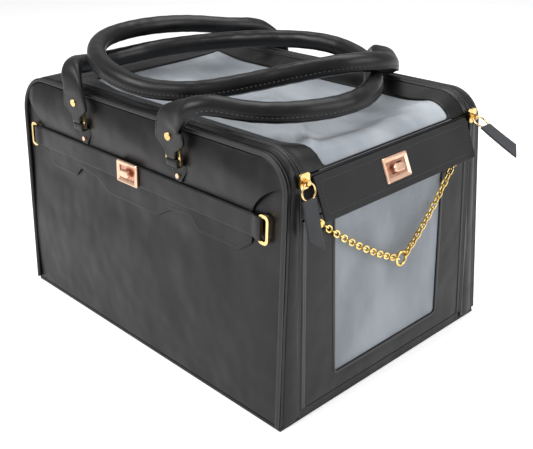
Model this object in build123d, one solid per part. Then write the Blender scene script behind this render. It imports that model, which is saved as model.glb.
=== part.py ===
"""Pet carrier bag with a mesh top lid, a mesh front door and two rolled handles.

Frame: +X is the door end, -Y the near long side, +Z up. The origin is the middle of the
bottom face. Every part of the far side is the near side's part mirrored in the XZ plane.
"""

import os
from math import atan, ceil, cos, radians, sin, sqrt, tan

from build123d import *

# ---- Overall sizes ----
length = 430.0
height = 258.0
bottom_width = 300.0
top_width = 260.0
front_corner_radius = 32.0
rear_corner_radius = 45.0
wall = 3.0
seam_gap = 0.4
half_length = length / 2
reach = 2 * length

# ---- Zips, lid and door ----
gusset_top = 13.0
gusset_bottom = 25.0
zip_half_top = top_width / 2 - gusset_top
zip_half_bottom = bottom_width / 2 - gusset_bottom
tape_width = 6.0
tape_lift = 0.8
teeth_width = 2.2
teeth_lift = 1.8
rear_roof = 65.0
lid_front_drop = 20.0
header_drop = 58.0
lid_hinge_x = rear_roof - half_length
lid_front_z = height - lid_front_drop
header_bottom_z = height - header_drop
sill_top_z = 10.0
lid_border = 29.0
lid_binding = 2.0
lid_rear_border = 18.0
lid_window_corner = 4.0
door_border = 42.0
door_top_border = 8.0
door_bottom_border = 20.0
door_window_corner = 4.0
mesh_thickness = 0.8
mesh_depth = 1.0

# ---- Floor ----
board_thickness = 2.5
board_inset = 8.0
mat_thickness = 14.0
mat_inset = 12.0
mat_corner = 22.0
mat_round = 5.9
stack_gap = 0.3

# ---- Piping ----
piping_radius = 2.2

# ---- Side flap, belt and turn lock, each side ----
trim_x = -6.0
station_offset = 80.0
flap_thickness = 2.0
flap_tab_half = 42.0
flap_tab_z = height - 100.0
flap_notch_z = height - 85.0
flap_notch_slope = 3.0
flap_notch_inner = 17.0
flap_notch_outer = 14.0
flap_wing_start = 25.0
flap_wing_z = height - 97.0
flap_wing_slant = 18.0
flap_wing_end = half_length - 41.0
flap_cutout_z = height - 53.0
flap_cutout_rise = 27.0
cutout_middle_out = 0.55
cutout_middle_up = 0.7
flap_edge_inset = 2 * piping_radius + seam_gap
belt_z = height - 66.0
belt_height = 22.0
belt_thickness = 2.5
belt_reach = half_length - 31.0
loop_width = 13.0
loop_height = 27.0
loop_wire = 3.0
loop_corner = 5.0
loop_inner_extra = 0.6

# ---- Turn lock, the same on both sides and on the front flap ----
plate_width = 34.0
plate_height = 23.0
plate_thickness = 2.0
plate_corner = 1.5
plate_rim = 4.5
lock_floor = 1.5
lock_floor_inset = 1.0
toggle_length = 15.0
toggle_height = 7.5
toggle_thickness = 3.0
toggle_corner = 1.2
toggle_round = 0.8
toggle_neck_radius = 2.8
pin_radius = 1.5
pin_clearance = 0.05
turn_clearance = 0.4

# ---- Front flap ----
front_flap_half_width = zip_half_top - 10.0
front_flap_length = 40.0
front_flap_stand_off = 0.6
front_flap_hinge_drop = 1.5
lock_down = 19.2
front_lock_y = -8.0
lock_base_clear_y = 2.0
lock_base_clear_z = 1.0
front_flap_thickness = 3.0
front_flap_tilt = 22.0
front_flap_corner = 3.0

# ---- Zip sliders and pulls ----
slider_z = height - 21.0
slider_length = 14.0
slider_width = 11.0
slider_thickness = 2.2
slider_round = 3.0
bail_width = 4.0
bail_height = 5.0
bail_depth = 4.6
bail_drop = 1.0
bail_round = 1.2
pull_ring_radius = 7.6
pull_wire_radius = 0.9
bail_bore_radius = 1.45
pull_tab_width = 15.0
pull_tab_length = 46.0
pull_tab_point = 12.0
pull_tab_thickness = 2.4
pull_tab_overlap = 2.0
near_pull_lift = 9.0
far_pull_lift = 62.0

# ---- Chain swag ----
link_length = 9.0
link_width = 6.4
link_wire = 1.3
link_pitch = 6.2
chain_stand_off = 4.5
chain_near_inset = 19.0
chain_far_inset = 31.0
chain_end_drop = 6.5
chain_end_z = header_bottom_z - chain_end_drop
chain_ring_radius = 7.0
chain_ring_wire = 1.4
staple_plate_radius = 3.2
staple_post_radius = 1.0
staple_head_radius = 2.3
chain_ring_y = 12.0
chain_ring_drop = 81.0
chain_ring_z = header_bottom_z - chain_ring_drop
chain_sag = 5.0
chain_ring_link_angle = 22.0

# ---- Handles ----
ring_width = 22.0
ring_height = 17.0
ring_wire = 2.6
ring_axis_z = height - 34.0
keeper_side_gap = 0.4
keeper_width = ring_width - 2 * ring_wire - 2 * keeper_side_gap
keeper_height = 9.0
keeper_depth = 8.0
keeper_clearance = 0.3
keeper_round = 3.0
strap_top_width = 25.0
strap_tip_width = 9.0
strap_thickness = 2.0
strap_shoulder = 4.0
strap_end_gap = 1.0
strap_rivet_rise = 6.0
rivet_radius = 4.2
rivet_height = 1.8
strap_rivet_radius = 2.4
rivet_round = 1.1
tab_thickness = 3.0
tab_tip_width = 14.0
tab_wide = 42.0
tab_tip_drop = 6.0
tab_rivet_rise = 4.0
tab_shoulder_z = height - 12.0
tab_top_width = 30.0
tab_top_z = height + 4.0
roll_radius = 10.0
roll_bend_share = 0.45

# ---- Derived values ----
lean = atan((bottom_width - top_width) / 2 / height)


def half_width(z):
    """Half the width of the bag's outside at height z."""
    return bottom_width / 2 - z * tan(lean)


def zip_half(z):
    """Distance of each zip from the middle plane at height z."""
    return zip_half_top + (height - z) * (zip_half_bottom - zip_half_top) / height


def box_between(low, high):
    """Box with the given lowest and highest corners."""
    size = [high[i] - low[i] for i in range(3)]
    middle = [(high[i] + low[i]) / 2 for i in range(3)]
    return Pos(*middle) * Box(*size)


def far_side(shape):
    """The near side's shape, mirrored to the far side."""
    return mirror(shape, about=Plane.XZ)


def both_sides(shape):
    """The shape and its mirror image, as separate solids of one node."""
    return Compound(children=[*shape.solids(), *far_side(shape).solids()])


def group(shapes):
    """Separate solids in one node."""
    return Compound(children=[solid for shape in shapes for solid in shape.solids()])


# ---- Envelopes that the panels are cut from ----


def end_profile(inset):
    """The bag seen from its long side, with rounded top corners, inset all round."""
    width = length - 2 * inset
    top = height - inset
    bottom = -wall
    blank = Plane.XZ * (Pos(0, (top + bottom) / 2) * Rectangle(width, top - bottom))
    top_edge = blank.vertices().sort_by(Axis.Z)[-2:].sort_by(Axis.X)
    front = fillet(top_edge[-1], front_corner_radius - inset)
    rear_corner = front.vertices().sort_by_distance((-width / 2, 0, top))[0]
    return fillet(rear_corner, rear_corner_radius - inset)


def end_prism(inset):
    """The end profile carried across the bag."""
    return extrude(end_profile(inset), amount=bottom_width, both=True)


def cross_prism(half_at):
    """A prism along X whose half width at height z is half_at(z)."""
    low = -2 * wall
    high = height + 2 * wall
    points = [(-half_at(low), low), (half_at(low), low), (half_at(high), high), (-half_at(high), high)]
    return extrude(Plane.YZ * make_face(Polyline(*points, close=True)), amount=reach, both=True)


def bag_prism(inset):
    """The bag's cross section, inset square to its sides."""
    return cross_prism(lambda z: half_width(z) - inset / cos(lean))


def zip_prism(offset):
    """Everything between the two zips, wider by offset on each side."""
    return cross_prism(lambda z: zip_half(z) + offset)


def wrap(outer, inner):
    """The band round the rear, top and front, between two insets."""
    return end_prism(outer) - end_prism(inner)


above_base = box_between((-reach, -reach, wall), (reach, reach, reach))
near_half = box_between((-reach, -reach, -reach), (reach, 0, reach))
ahead_of_hinge = box_between((lid_hinge_x, -reach, -reach), (reach, reach, reach))
inside_sides = bag_prism(wall)


def front_band(low, high):
    """The part of space in front of the middle, between two heights."""
    return box_between((0, -reach, low), (reach, reach, high))


# ---- Fixed shell ----


def base_panel():
    """Bottom panel, the full footprint."""
    slab = box_between((-reach, -reach, 0), (reach, reach, wall))
    return end_prism(0) & bag_prism(0) & slab


def side_panel():
    """Near long side, leaning in towards the top."""
    skin = bag_prism(0) - bag_prism(wall)
    return end_prism(0) & skin & near_half & above_base


def rear_panel():
    """Rear end, carried over the rear corner to the lid's hinge seam."""
    behind = box_between((-reach, -reach, wall), (lid_hinge_x, reach, reach))
    return wrap(0, wall) & inside_sides & behind


def gusset():
    """Strip between the near side and the near zip, over the top and down the front."""
    strip = (wrap(0, wall) & inside_sides) - zip_prism(seam_gap)
    return strip & near_half & above_base & ahead_of_hinge


def front_header():
    """Crossbar behind the front flap, which carries the flap and the lock's base."""
    return wrap(0, wall) & zip_prism(seam_gap) & front_band(header_bottom_z, lid_front_z - seam_gap)


def front_sill():
    """Strip under the door."""
    return wrap(0, wall) & zip_prism(seam_gap) & front_band(wall, sill_top_z)


def piping():
    """Welt along the near side's edge: up the rear, over the top and down the front."""
    inset = piping_radius
    x = half_length - inset
    z = height - inset
    bottom = wall + piping_radius
    rear = rear_corner_radius - inset
    front = front_corner_radius - inset

    def edge_point(px, pz):
        return Vector(px, -half_width(pz) - piping_radius / cos(lean), pz)

    def bend(middle_x, middle_z, radius, start, end):
        middle = radians((start + end) / 2)
        angles = (radians(start), middle, radians(end))
        points = [edge_point(middle_x + radius * cos(a), middle_z + radius * sin(a)) for a in angles]
        return ThreePointArc(*points)

    rear_arc = bend(-x + rear, z - rear, rear, 180, 90)
    front_arc = bend(x - front, z - front, front, 90, 0)
    path = Wire(
        [
            Line(edge_point(-x, bottom), rear_arc @ 0),
            rear_arc,
            Line(rear_arc @ 1, front_arc @ 0),
            front_arc,
            Line(front_arc @ 1, edge_point(x, bottom)),
        ]
    )
    section = Plane(path @ 0, z_dir=path % 0) * Circle(piping_radius)
    return sweep(section, path=path, transition=Transition.RIGHT)


def zip_half_band(offset_inner, offset_outer, lift):
    """Raised band on the near side, between two distances outside the zip line."""
    band = wrap(-lift, 0) & (zip_prism(offset_outer) - zip_prism(offset_inner))
    return band & near_half


def outer_zip():
    """Tape and teeth on the gusset's side of the near zip."""
    tape = zip_half_band(seam_gap + teeth_width, seam_gap + tape_width, tape_lift)
    teeth = zip_half_band(seam_gap, seam_gap + teeth_width, teeth_lift)
    return (tape + teeth) & ahead_of_hinge & above_base


def inner_zip(region):
    """Tape and teeth on the lid's or door's side of both zips."""
    tape = zip_half_band(-seam_gap - tape_width, -seam_gap - teeth_width, tape_lift)
    teeth = zip_half_band(-seam_gap - teeth_width, -seam_gap, teeth_lift)
    return both_sides((tape + teeth) & region)


# ---- Floor ----


def base_board():
    """Stiff board on the bottom panel."""
    low = wall + stack_gap
    board = Box(
        length - 2 * (wall + board_inset),
        2 * (half_width(low + board_thickness) - wall - board_inset),
        board_thickness,
    )
    rounded = fillet(board.edges().filter_by(Axis.Z), board_inset)
    return Pos(0, 0, low + board_thickness / 2) * rounded


def floor_mat():
    """Padded mat on the board."""
    low = wall + board_thickness + 2 * stack_gap
    top = low + mat_thickness
    mat = Box(
        length - 2 * (wall + mat_inset),
        2 * (half_width(top) - wall - mat_inset),
        mat_thickness,
    )
    upright = fillet(mat.edges().filter_by(Axis.Z), mat_corner)
    rims = upright.edges().filter_by(Plane.XY)
    return Pos(0, 0, low + mat_thickness / 2) * fillet(rims, mat_round)


# ---- Lid and door ----

lid_region = box_between(
    (lid_hinge_x + seam_gap, -reach, lid_front_z), (reach, reach, reach)
)
door_region = front_band(sill_top_z + seam_gap, header_bottom_z - seam_gap)


def lid_window():
    """Prism through the lid where the mesh shows."""
    rear = lid_hinge_x + lid_rear_border
    drop = lid_front_z + lid_binding - (height - front_corner_radius)
    front = half_length - front_corner_radius + sqrt(front_corner_radius**2 - drop**2)
    half = zip_half_top - lid_border
    size_x = front - rear
    blank = Pos((front + rear) / 2, 0) * Rectangle(size_x, 2 * half)
    outline = fillet(blank.vertices(), lid_window_corner)
    return extrude(Plane.XY.offset(height / 2) * outline, amount=height)


def door_window():
    """Prism through the door where the mesh shows."""
    low = sill_top_z + door_bottom_border
    high = header_bottom_z - door_top_border
    half = zip_half(high) - door_border
    blank = Pos(0, (low + high) / 2) * Rectangle(2 * half, high - low)
    outline = fillet(blank.vertices(), door_window_corner)
    return extrude(Plane.YZ * outline, amount=reach)


def framed_panel(region, window):
    """Leather frame and mesh of a lid or door, cut from the band round the bag."""
    blank = zip_prism(-seam_gap) & region
    frame = (wrap(0, wall) & blank) - window
    mesh = wrap(mesh_depth, mesh_depth + mesh_thickness) & blank & window
    return frame, mesh


# ---- Near side's flap, belt and trim ----
# Places on the side are (x, z): the sheet lies on the leaning side at a stated lift.


def side_plane(lift=0.0, x=0.0, z=0.0):
    """Plane on the near side at height z, standing off it by lift, looking out."""
    normal = Vector(0, -cos(lean), sin(lean))
    foot = Vector(x, -half_width(z), z)
    return Plane(foot + normal * lift, x_dir=(1, 0, 0), z_dir=normal)


def side_sheet(face, lift, thickness):
    """A flat face drawn in (x, height) laid on the near side and given a thickness."""
    return extrude(side_plane(lift) * face, amount=thickness)


def side_flap():
    """Big flap from the top seam to below the belt, with cut-outs at both ends."""
    edge = half_length - flap_edge_inset
    shoulder_z = flap_cutout_z + flap_cutout_rise
    wing = flap_wing_end
    above = height + flap_edge_inset

    def lower_edge(side):
        station = trim_x + side * station_offset
        return [
            (trim_x + side * flap_tab_half, flap_tab_z),
            (station - side * flap_notch_inner, flap_notch_z - flap_notch_slope),
            (station + side * flap_notch_outer, flap_notch_z),
            (station + side * flap_wing_start, flap_wing_z),
            (side * (wing - flap_wing_slant), flap_wing_z),
            (side * wing, flap_notch_z),
        ]

    def cutout(side):
        start = (side * wing, flap_cutout_z)
        middle_x = wing + cutout_middle_out * (edge - wing)
        middle = (side * middle_x, flap_cutout_z + cutout_middle_up * flap_cutout_rise)
        end = (side * edge, shoulder_z)
        return ThreePointArc(start, middle, end)

    right = cutout(1)
    left = cutout(-1)
    bottom = Polyline(left @ 0, *reversed(lower_edge(-1)), *lower_edge(1), right @ 0)
    corners = [
        (half_length, shoulder_z),
        (half_length, above),
        (-half_length, above),
        (-half_length, shoulder_z),
    ]
    top = Polyline(right @ 1, *corners, left @ 1)
    face = make_face(Curve() + [bottom, right, top, left])
    return side_sheet(face, 0, flap_thickness) & end_prism(flap_edge_inset)


def belt():
    """Strap across the side, over the flap."""
    face = Pos(0, belt_z) * Rectangle(2 * belt_reach, belt_height)
    return side_sheet(face, flap_thickness, belt_thickness)


def rounded_ring(width, tall, wire, corner):
    """Flat rounded rectangular wire ring, in the XY plane."""
    outer = RectangleRounded(width, tall, corner)
    inner = RectangleRounded(width - 2 * wire, tall - 2 * wire, corner - wire + loop_inner_extra)
    return outer - inner


def belt_loops():
    """Wire loop at each end of the belt."""
    loops = []
    for side in (-1, 1):
        middle = side * (belt_reach + seam_gap + loop_width / 2)
        face = Pos(middle, belt_z) * rounded_ring(loop_width, loop_height, loop_wire, loop_corner)
        loops.append(side_sheet(face, flap_thickness + seam_gap, loop_wire))
    return group(loops)


def lock_plate(depth):
    """Frame plate of a turn lock on the XY plane, with a floor sunk by depth."""
    outer = RectangleRounded(plate_width, plate_height, plate_corner)
    hole = Rectangle(plate_width - 2 * plate_rim, plate_height - 2 * plate_rim)
    frame = extrude(outer - hole, amount=plate_thickness)
    if depth <= 0:
        return frame
    seat = Rectangle(plate_width - 2 * lock_floor_inset, plate_height - 2 * lock_floor_inset)
    floor = extrude(seat, amount=-depth)
    bore = Cylinder(pin_radius + pin_clearance, 4 * depth)
    return frame + (floor - bore)


def lock_toggle(floor_top, bar_bottom):
    """Turn bar with its neck and its pin, along Z, in line with the slot."""
    bar = Pos(0, 0, bar_bottom) * extrude(
        RectangleRounded(toggle_length, toggle_height, toggle_corner), amount=toggle_thickness
    )
    rounded = fillet(bar.faces().sort_by(Axis.Z)[-1].edges(), toggle_round)
    neck_low = floor_top + turn_clearance / 2
    neck = Pos(0, 0, neck_low) * extrude(Circle(toggle_neck_radius), amount=bar_bottom - neck_low)
    pin = Pos(0, 0, floor_top - lock_floor) * extrude(
        Circle(pin_radius), amount=lock_floor + turn_clearance
    )
    return rounded + neck + pin


side_lock_plane = side_plane(
    flap_thickness + belt_thickness + lock_floor, trim_x, belt_z
)


def side_lock():
    """Near side's lock plate on the belt, and its toggle."""
    plate = side_lock_plane * lock_plate(lock_floor)
    toggle = side_lock_plane * lock_toggle(0, plate_thickness + turn_clearance)
    return plate, toggle


# ---- Handle rings, keepers and straps ----

ring_y = (
    -half_width(ring_axis_z)
    - flap_thickness / cos(lean)
    - strap_thickness
    - keeper_depth / 2
    - seam_gap
)


def keeper(x):
    """Leather roll that holds the ring's lower bar, and the strap that goes down under the belt."""
    roll = Pos(x, ring_y, ring_axis_z) * Box(keeper_width, keeper_depth, keeper_height)
    rounded = fillet(roll.edges().filter_by(Axis.X), keeper_round)
    bore = Pos(x, ring_y, ring_axis_z) * Cylinder(
        ring_wire / 2 + keeper_clearance, 2 * keeper_width, rotation=(0, 90, 0)
    )
    tip_z = belt_z + belt_height / 2 + strap_end_gap
    top_z = ring_axis_z - keeper_height / 2 - strap_end_gap
    points = [
        (x - strap_top_width / 2, top_z),
        (x + strap_top_width / 2, top_z),
        (x + strap_top_width / 2, top_z - strap_shoulder),
        (x + strap_tip_width / 2, tip_z),
        (x - strap_tip_width / 2, tip_z),
        (x - strap_top_width / 2, top_z - strap_shoulder),
    ]
    strap = side_sheet(make_face(Polyline(*points, close=True)), flap_thickness, strap_thickness)
    backing = Pos(0, 0, ring_axis_z) * (
        Pos(x, ring_y + keeper_depth / 2 + strap_thickness / 2, -keeper_height / 2)
        * Box(keeper_width, strap_thickness, keeper_height)
    )
    zone = Pos(x, ring_axis_z) * Rectangle(2 * strap_top_width, 4 * keeper_height)
    behind_flap = side_sheet(zone, -reach, reach + flap_thickness)
    return (rounded - bore) + (backing - behind_flap) + strap


def keepers():
    """Both keepers of the near side."""
    return group(keeper(trim_x + side * station_offset) for side in (-1, 1))


def keeper_rivets():
    """Small rivet on each keeper strap."""
    rivets = []
    for side in (-1, 1):
        x = trim_x + side * station_offset
        z = belt_z + belt_height / 2 + strap_rivet_rise
        plane = side_plane(flap_thickness + strap_thickness, x, z)
        rivets.append(plane * extrude(Circle(strap_rivet_radius), amount=rivet_height))
    return group(rivets)


def handle_rings():
    """Rectangular wire ring under each tab, its lower bar in the keeper."""
    rings = []
    for side in (-1, 1):
        x = trim_x + side * station_offset
        middle_z = ring_axis_z + (ring_height - ring_wire) / 2
        frame = Rectangle(ring_width, ring_height) - Rectangle(
            ring_width - 2 * ring_wire, ring_height - 2 * ring_wire
        )
        flat = extrude(Plane.XZ * frame, amount=ring_wire / 2, both=True)
        trimmed = Pos(x, ring_y, middle_z) * flat
        bar_zone = box_between(
            (x - ring_width / 2 + ring_wire, -reach, ring_axis_z - ring_wire),
            (x + ring_width / 2 - ring_wire, reach, ring_axis_z + ring_wire),
        )
        round_bar = Pos(x, ring_y, ring_axis_z) * Cylinder(
            ring_wire / 2, ring_width - 2 * ring_wire, rotation=(0, 90, 0)
        )
        rings.append((trimmed - bar_zone) + round_bar)
    return group(rings)


tab_front_y = ring_y - ring_wire / 2 - seam_gap


def handle_tab(x):
    """Flat leather tab in front of the ring, widening from its tip and in again to the roll."""
    tip_z = ring_axis_z + ring_height - ring_wire - tab_tip_drop
    points = [
        (x - tab_tip_width / 2, tip_z),
        (x + tab_tip_width / 2, tip_z),
        (x + tab_wide / 2, tab_shoulder_z),
        (x + tab_top_width / 2, tab_top_z),
        (x - tab_top_width / 2, tab_top_z),
        (x - tab_wide / 2, tab_shoulder_z),
    ]
    face = Plane.XZ.offset(-tab_front_y) * make_face(Polyline(*points, close=True))
    return extrude(face, amount=tab_thickness)


def handle_tabs():
    """Both tabs of the near handle."""
    return group(handle_tab(trim_x + side * station_offset) for side in (-1, 1))


def handle_rivets():
    """Domed rivet through the middle of each tab."""
    rivets = []
    for side in (-1, 1):
        x = trim_x + side * station_offset
        place = Pos(x, tab_front_y - tab_thickness, tab_shoulder_z + tab_rivet_rise)
        disc = extrude(Plane.XZ * Circle(rivet_radius), amount=rivet_height)
        rivets.append(place * fillet(disc.faces().sort_by(Axis.Y)[0].edges(), rivet_round))
    return group(rivets)


tab_middle_y = tab_front_y - tab_thickness / 2

# The soft rolls lie loosely on the lid: x, y and height above the top face, chosen by hand.
near_route = [
    (-98, -137, 28),
    (-126, -104, 18),
    (-134, -56, 15),
    (-124, -6, 18),
    (-86, 36, 23),
    (-31, 78, 28),
    (28, 110, 27),
    (84, 106, 20),
    (130, 72, 15),
    (166, 28, 14),
    (181, -22, 14),
    (164, -68, 14),
    (136, -98, 15),
    (104, -134, 27),
]
far_route = [
    (88, 136, 24),
    (124, 107, 19),
    (151, 64, 36),
    (138, 18, 38),
    (108, -14, 30),
    (76, -50, 21),
    (44, -92, 15),
    (4, -122, 18),
    (-40, -128, 28),
    (-84, -116, 36),
    (-122, -84, 41),
    (-138, -42, 42),
    (-139, 4, 41),
    (-124, 46, 38),
    (-102, 84, 31),
    (-92, 126, 27),
]


def roll(route, start, end):
    """Round handle roll from one tab's top edge to the other's, along straight runs and arcs."""
    points = [Vector(*start)]
    points += [Vector(x, y, height + rise) for x, y, rise in route]
    points += [Vector(*end)]
    radii = []
    for before, here, after in zip(points, points[1:], points[2:]):
        turn = (here - before).get_angle(after - here)
        run = min((here - before).length, (after - here).length)
        radii.append(roll_bend_share * run / tan(radians(turn) / 2))
    path = FilletPolyline(*points, radius=radii)
    section = Plane(path @ 0, z_dir=path % 0) * Circle(roll_radius)
    print(f"roll length {path.length:.0f} tightest bend {min(radii):.1f}")
    above_tabs = box_between((-reach, -reach, tab_top_z), (reach, reach, reach))
    return sweep(section, path=path) & above_tabs


def handle_rolls():
    """Near and far rolls, crossing each other on top of the bag."""
    left = trim_x - station_offset
    right = trim_x + station_offset
    root_z = tab_top_z - roll_radius
    near = roll(near_route, (left, tab_middle_y, root_z), (right, tab_middle_y, root_z))
    far = roll(far_route, (right, -tab_middle_y, root_z), (left, -tab_middle_y, root_z))
    return near, far


# ---- Front flap with its lock ----

flap_hinge_x = half_length + front_flap_stand_off
flap_hinge_z = lid_front_z - front_flap_hinge_drop
tilt = radians(front_flap_tilt)
flap_down = Vector(sin(tilt), 0, -cos(tilt))
flap_normal = Vector(cos(tilt), 0, sin(tilt))


def front_flap_plane(down, lift, y=0.0):
    """Plane on the front flap at a distance down it and y across, standing off its back face."""
    foot = Vector(flap_hinge_x, y, flap_hinge_z) + flap_down * down + flap_normal * lift
    return Plane(foot, x_dir=(0, 1, 0), z_dir=flap_normal)


def front_flap():
    """Leather flap hinged at its top edge, with a slot for the lock's neck."""
    outline = RectangleRounded(2 * front_flap_half_width, front_flap_length, front_flap_corner)
    slot = Rectangle(plate_width - 2 * plate_rim, plate_height - 2 * plate_rim)
    middle = front_flap_plane(front_flap_length / 2, 0) * outline
    hole = front_flap_plane(lock_down, 0, front_lock_y) * slot
    return extrude(middle - hole, amount=front_flap_thickness, dir=flap_normal)


def front_lock():
    """Plate on the flap, base on the header and toggle through the slot."""
    plate = front_flap_plane(lock_down, front_flap_thickness, front_lock_y) * lock_plate(0)
    base_top = -seam_gap
    width = plate_width - 2 * plate_rim - 2 * lock_base_clear_y
    tall = plate_height - 2 * plate_rim - 2 * lock_base_clear_z
    block = front_flap_plane(lock_down, base_top, front_lock_y) * extrude(
        Rectangle(width, tall), amount=-2 * plate_height
    )
    front_face = box_between((half_length, -reach, -reach), (reach, reach, reach))
    bore = front_flap_plane(lock_down, base_top, front_lock_y) * extrude(
        Circle(pin_radius + pin_clearance), amount=-lock_floor - turn_clearance
    )
    base = (block & front_face) - bore
    bar_bottom = front_flap_thickness + plate_thickness + turn_clearance - base_top
    toggle = front_flap_plane(lock_down, base_top, front_lock_y) * lock_toggle(0, bar_bottom)
    return plate, base, toggle


# ---- Zip sliders and pulls ----

zip_run = Vector(0, -(zip_half(0) - zip_half(height)) / height, -1).normalized()
slider_back_x = half_length + teeth_lift + seam_gap
bail_x = slider_back_x + slider_thickness + bail_depth / 2
bail_z = slider_z - bail_drop


def slider():
    """Near slider: body on the teeth and a bail with a cross bore for the pull ring."""
    y = -zip_half(slider_z)
    body = Pos(slider_back_x + slider_thickness / 2, y, slider_z) * Box(
        slider_thickness, slider_width, slider_length
    )
    shaped = fillet(body.edges().filter_by(Axis.X), slider_round)
    bail = Pos(bail_x, y, bail_z) * Box(bail_depth, bail_width, bail_height)
    bore = Pos(bail_x, y, bail_z) * Cylinder(bail_bore_radius, 2 * bail_width, rotation=(90, 0, 0))
    return shaped + (fillet(bail.edges().filter_by(Axis.Y), bail_round) - bore)


def pull_parts(lift):
    """Ring and leather tab of the near pull, swung out from hanging by lift degrees."""
    y = -zip_half(slider_z)
    ring = Pos(0, 0, -pull_ring_radius) * Torus(
        pull_ring_radius, pull_wire_radius, rotation=(0, 90, 0)
    )
    top = -2 * pull_ring_radius + pull_tab_overlap
    half = pull_tab_width / 2
    points = [
        (-half, top),
        (half, top),
        (half, top - pull_tab_length),
        (-half, top - pull_tab_length + pull_tab_point),
    ]
    face = Plane.YZ * make_face(Polyline(*points, close=True))
    tab = extrude(face, amount=pull_tab_thickness / 2, both=True)
    room = Pos(0, 0, -pull_ring_radius) * Torus(
        pull_ring_radius, pull_wire_radius + seam_gap / 2, rotation=(0, 90, 0)
    )
    swing = Pos(bail_x, y, bail_z) * Rot(0, -lift, 0)
    return swing * ring, swing * (tab - room)


# ---- Chain swag on the door ----


def chain_link():
    """Flat oval link along X."""
    outer = SlotOverall(link_length, link_width)
    inner = SlotOverall(link_length - 2 * link_wire, link_width - 2 * link_wire)
    return extrude(outer - inner, amount=link_wire / 2, both=True)


def chain_run(start, end):
    """Links from start to end, each (y, z) on the door's front, sagging by chain_sag.

    They lie flat and edge-on by turns. The first is flat and the last is edge-on.
    """
    x = half_length + chain_stand_off
    span = Vector(0, end[0] - start[0], end[1] - start[1])
    steps = ceil(span.length / link_pitch)
    steps += 1 - steps % 2
    links = []
    for index in range(steps + 1):
        share = index / steps
        fall = -4 * chain_sag * share * (1 - share)
        slope = -4 * chain_sag * (1 - 2 * share)
        place = Vector(x, start[0], start[1]) + span * share + Vector(0, 0, fall)
        along = span + Vector(0, 0, slope)
        plane = Plane(place, x_dir=along, z_dir=(1, 0, 0))
        links.append(plane * Rot(90 * (index % 2), 0, 0) * chain_link())
    return links


def ring_link_point(side):
    """Centre of the link that hangs on the ring, on one side of it."""
    gap = chain_ring_radius + link_length / 2 - link_wire - chain_ring_wire - seam_gap
    rise = radians(chain_ring_link_angle)
    return chain_ring_y + side * gap * cos(rise), chain_ring_z + gap * sin(rise)


chain_ends = {
    -1: chain_near_inset - zip_half(chain_end_z),
    1: zip_half(chain_end_z) - chain_far_inset,
}


def chain():
    """Two runs of links that meet at the ring."""
    left = chain_run((chain_ends[-1], chain_end_z), ring_link_point(-1))
    right = chain_run((chain_ends[1], chain_end_z), ring_link_point(1))
    return group(left + right)


def chain_ring():
    """Round ring at the middle of the swag."""
    place = Pos(half_length + chain_stand_off, chain_ring_y, chain_ring_z)
    return place * Torus(chain_ring_radius, chain_ring_wire, rotation=(0, 90, 0))


def chain_staples():
    """Headed post on each of the door's top corners, through the end link."""
    staples = []
    for side in (-1, 1):
        start = Vector(0, chain_ends[side], chain_end_z)
        end = Vector(0, *ring_link_point(side))
        along = (end - start + Vector(0, 0, -4 * chain_sag)).normalized()
        reach_back = link_length / 2 - link_wire - staple_post_radius - seam_gap / 2
        foot = Pos(*(start - along * reach_back + Vector(half_length, 0, 0))) * Rot(0, 90, 0)
        post_length = chain_stand_off + link_wire + seam_gap
        plate = extrude(Circle(staple_plate_radius), amount=tape_lift)
        post = extrude(Circle(staple_post_radius), amount=post_length)
        head = Pos(0, 0, post_length) * extrude(Circle(staple_head_radius), amount=link_wire)
        staples.append(foot * (plate + post + head))
    return group(staples)


# ---- Collect and write every node ----


def build_nodes():
    """Every node's shape by name."""
    lid_frame, lid_mesh = framed_panel(lid_region, lid_window())
    door_frame, door_mesh = framed_panel(door_region, door_window())
    plate, toggle = side_lock()
    front_plate, front_base, front_toggle = front_lock()
    near_roll, far_roll = handle_rolls()
    near_ring, near_tab = pull_parts(near_pull_lift)
    far_ring, far_tab = pull_parts(far_pull_lift)

    nodes = {
        "base_panel": base_panel(),
        "rear_panel": rear_panel(),
        "front_header": front_header(),
        "front_sill": front_sill(),
        "base_board": base_board(),
        "floor_mat": floor_mat(),
        "lid_frame": lid_frame,
        "lid_mesh": lid_mesh,
        "lid_zip": inner_zip(lid_region),
        "door_frame": door_frame,
        "door_mesh": door_mesh,
        "door_zip": inner_zip(door_region),
        "chain_links": chain(),
        "chain_ring": chain_ring(),
        "chain_staples": chain_staples(),
        "front_flap": front_flap(),
        "front_lock_plate": front_plate,
        "front_lock_base": front_base,
        "front_lock_toggle": front_toggle,
        "near_handle_roll": near_roll,
        "far_handle_roll": far_roll,
        "near_pull_ring": near_ring,
        "near_pull_tab": near_tab,
        "far_pull_ring": far_side(far_ring),
        "far_pull_tab": far_side(far_tab),
    }
    near_parts = {
        "side_panel": side_panel(),
        "gusset": gusset(),
        "piping": piping(),
        "zip": outer_zip(),
        "side_flap": side_flap(),
        "belt": belt(),
        "belt_loops": belt_loops(),
        "lock_plate": plate,
        "lock_toggle": toggle,
        "keepers": keepers(),
        "keeper_rivets": keeper_rivets(),
        "handle_rings": handle_rings(),
        "handle_tabs": handle_tabs(),
        "handle_rivets": handle_rivets(),
        "slider": slider(),
    }
    for name, shape in near_parts.items():
        nodes["near_" + name] = shape
        nodes["far_" + name] = far_side(shape)
    return nodes


def main():
    """Write one STEP file per node."""
    os.makedirs("parts", exist_ok=True)
    for name, shape in build_nodes().items():
        export_step(Compound(children=shape.solids()), f"parts/{name}.step")


main()
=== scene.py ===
"""Pet carrier bag: leather shell with mesh lid and door, rolled handles, turn locks and a chain swag."""

import logging
from collections.abc import Callable, Sequence
from dataclasses import dataclass, field
from enum import Enum
from math import asin, atan, cos, hypot, pi, radians, sin, sqrt

import bmesh
import bpy
import numpy as np
from mathutils import Matrix, Vector
from numpy.typing import NDArray


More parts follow.
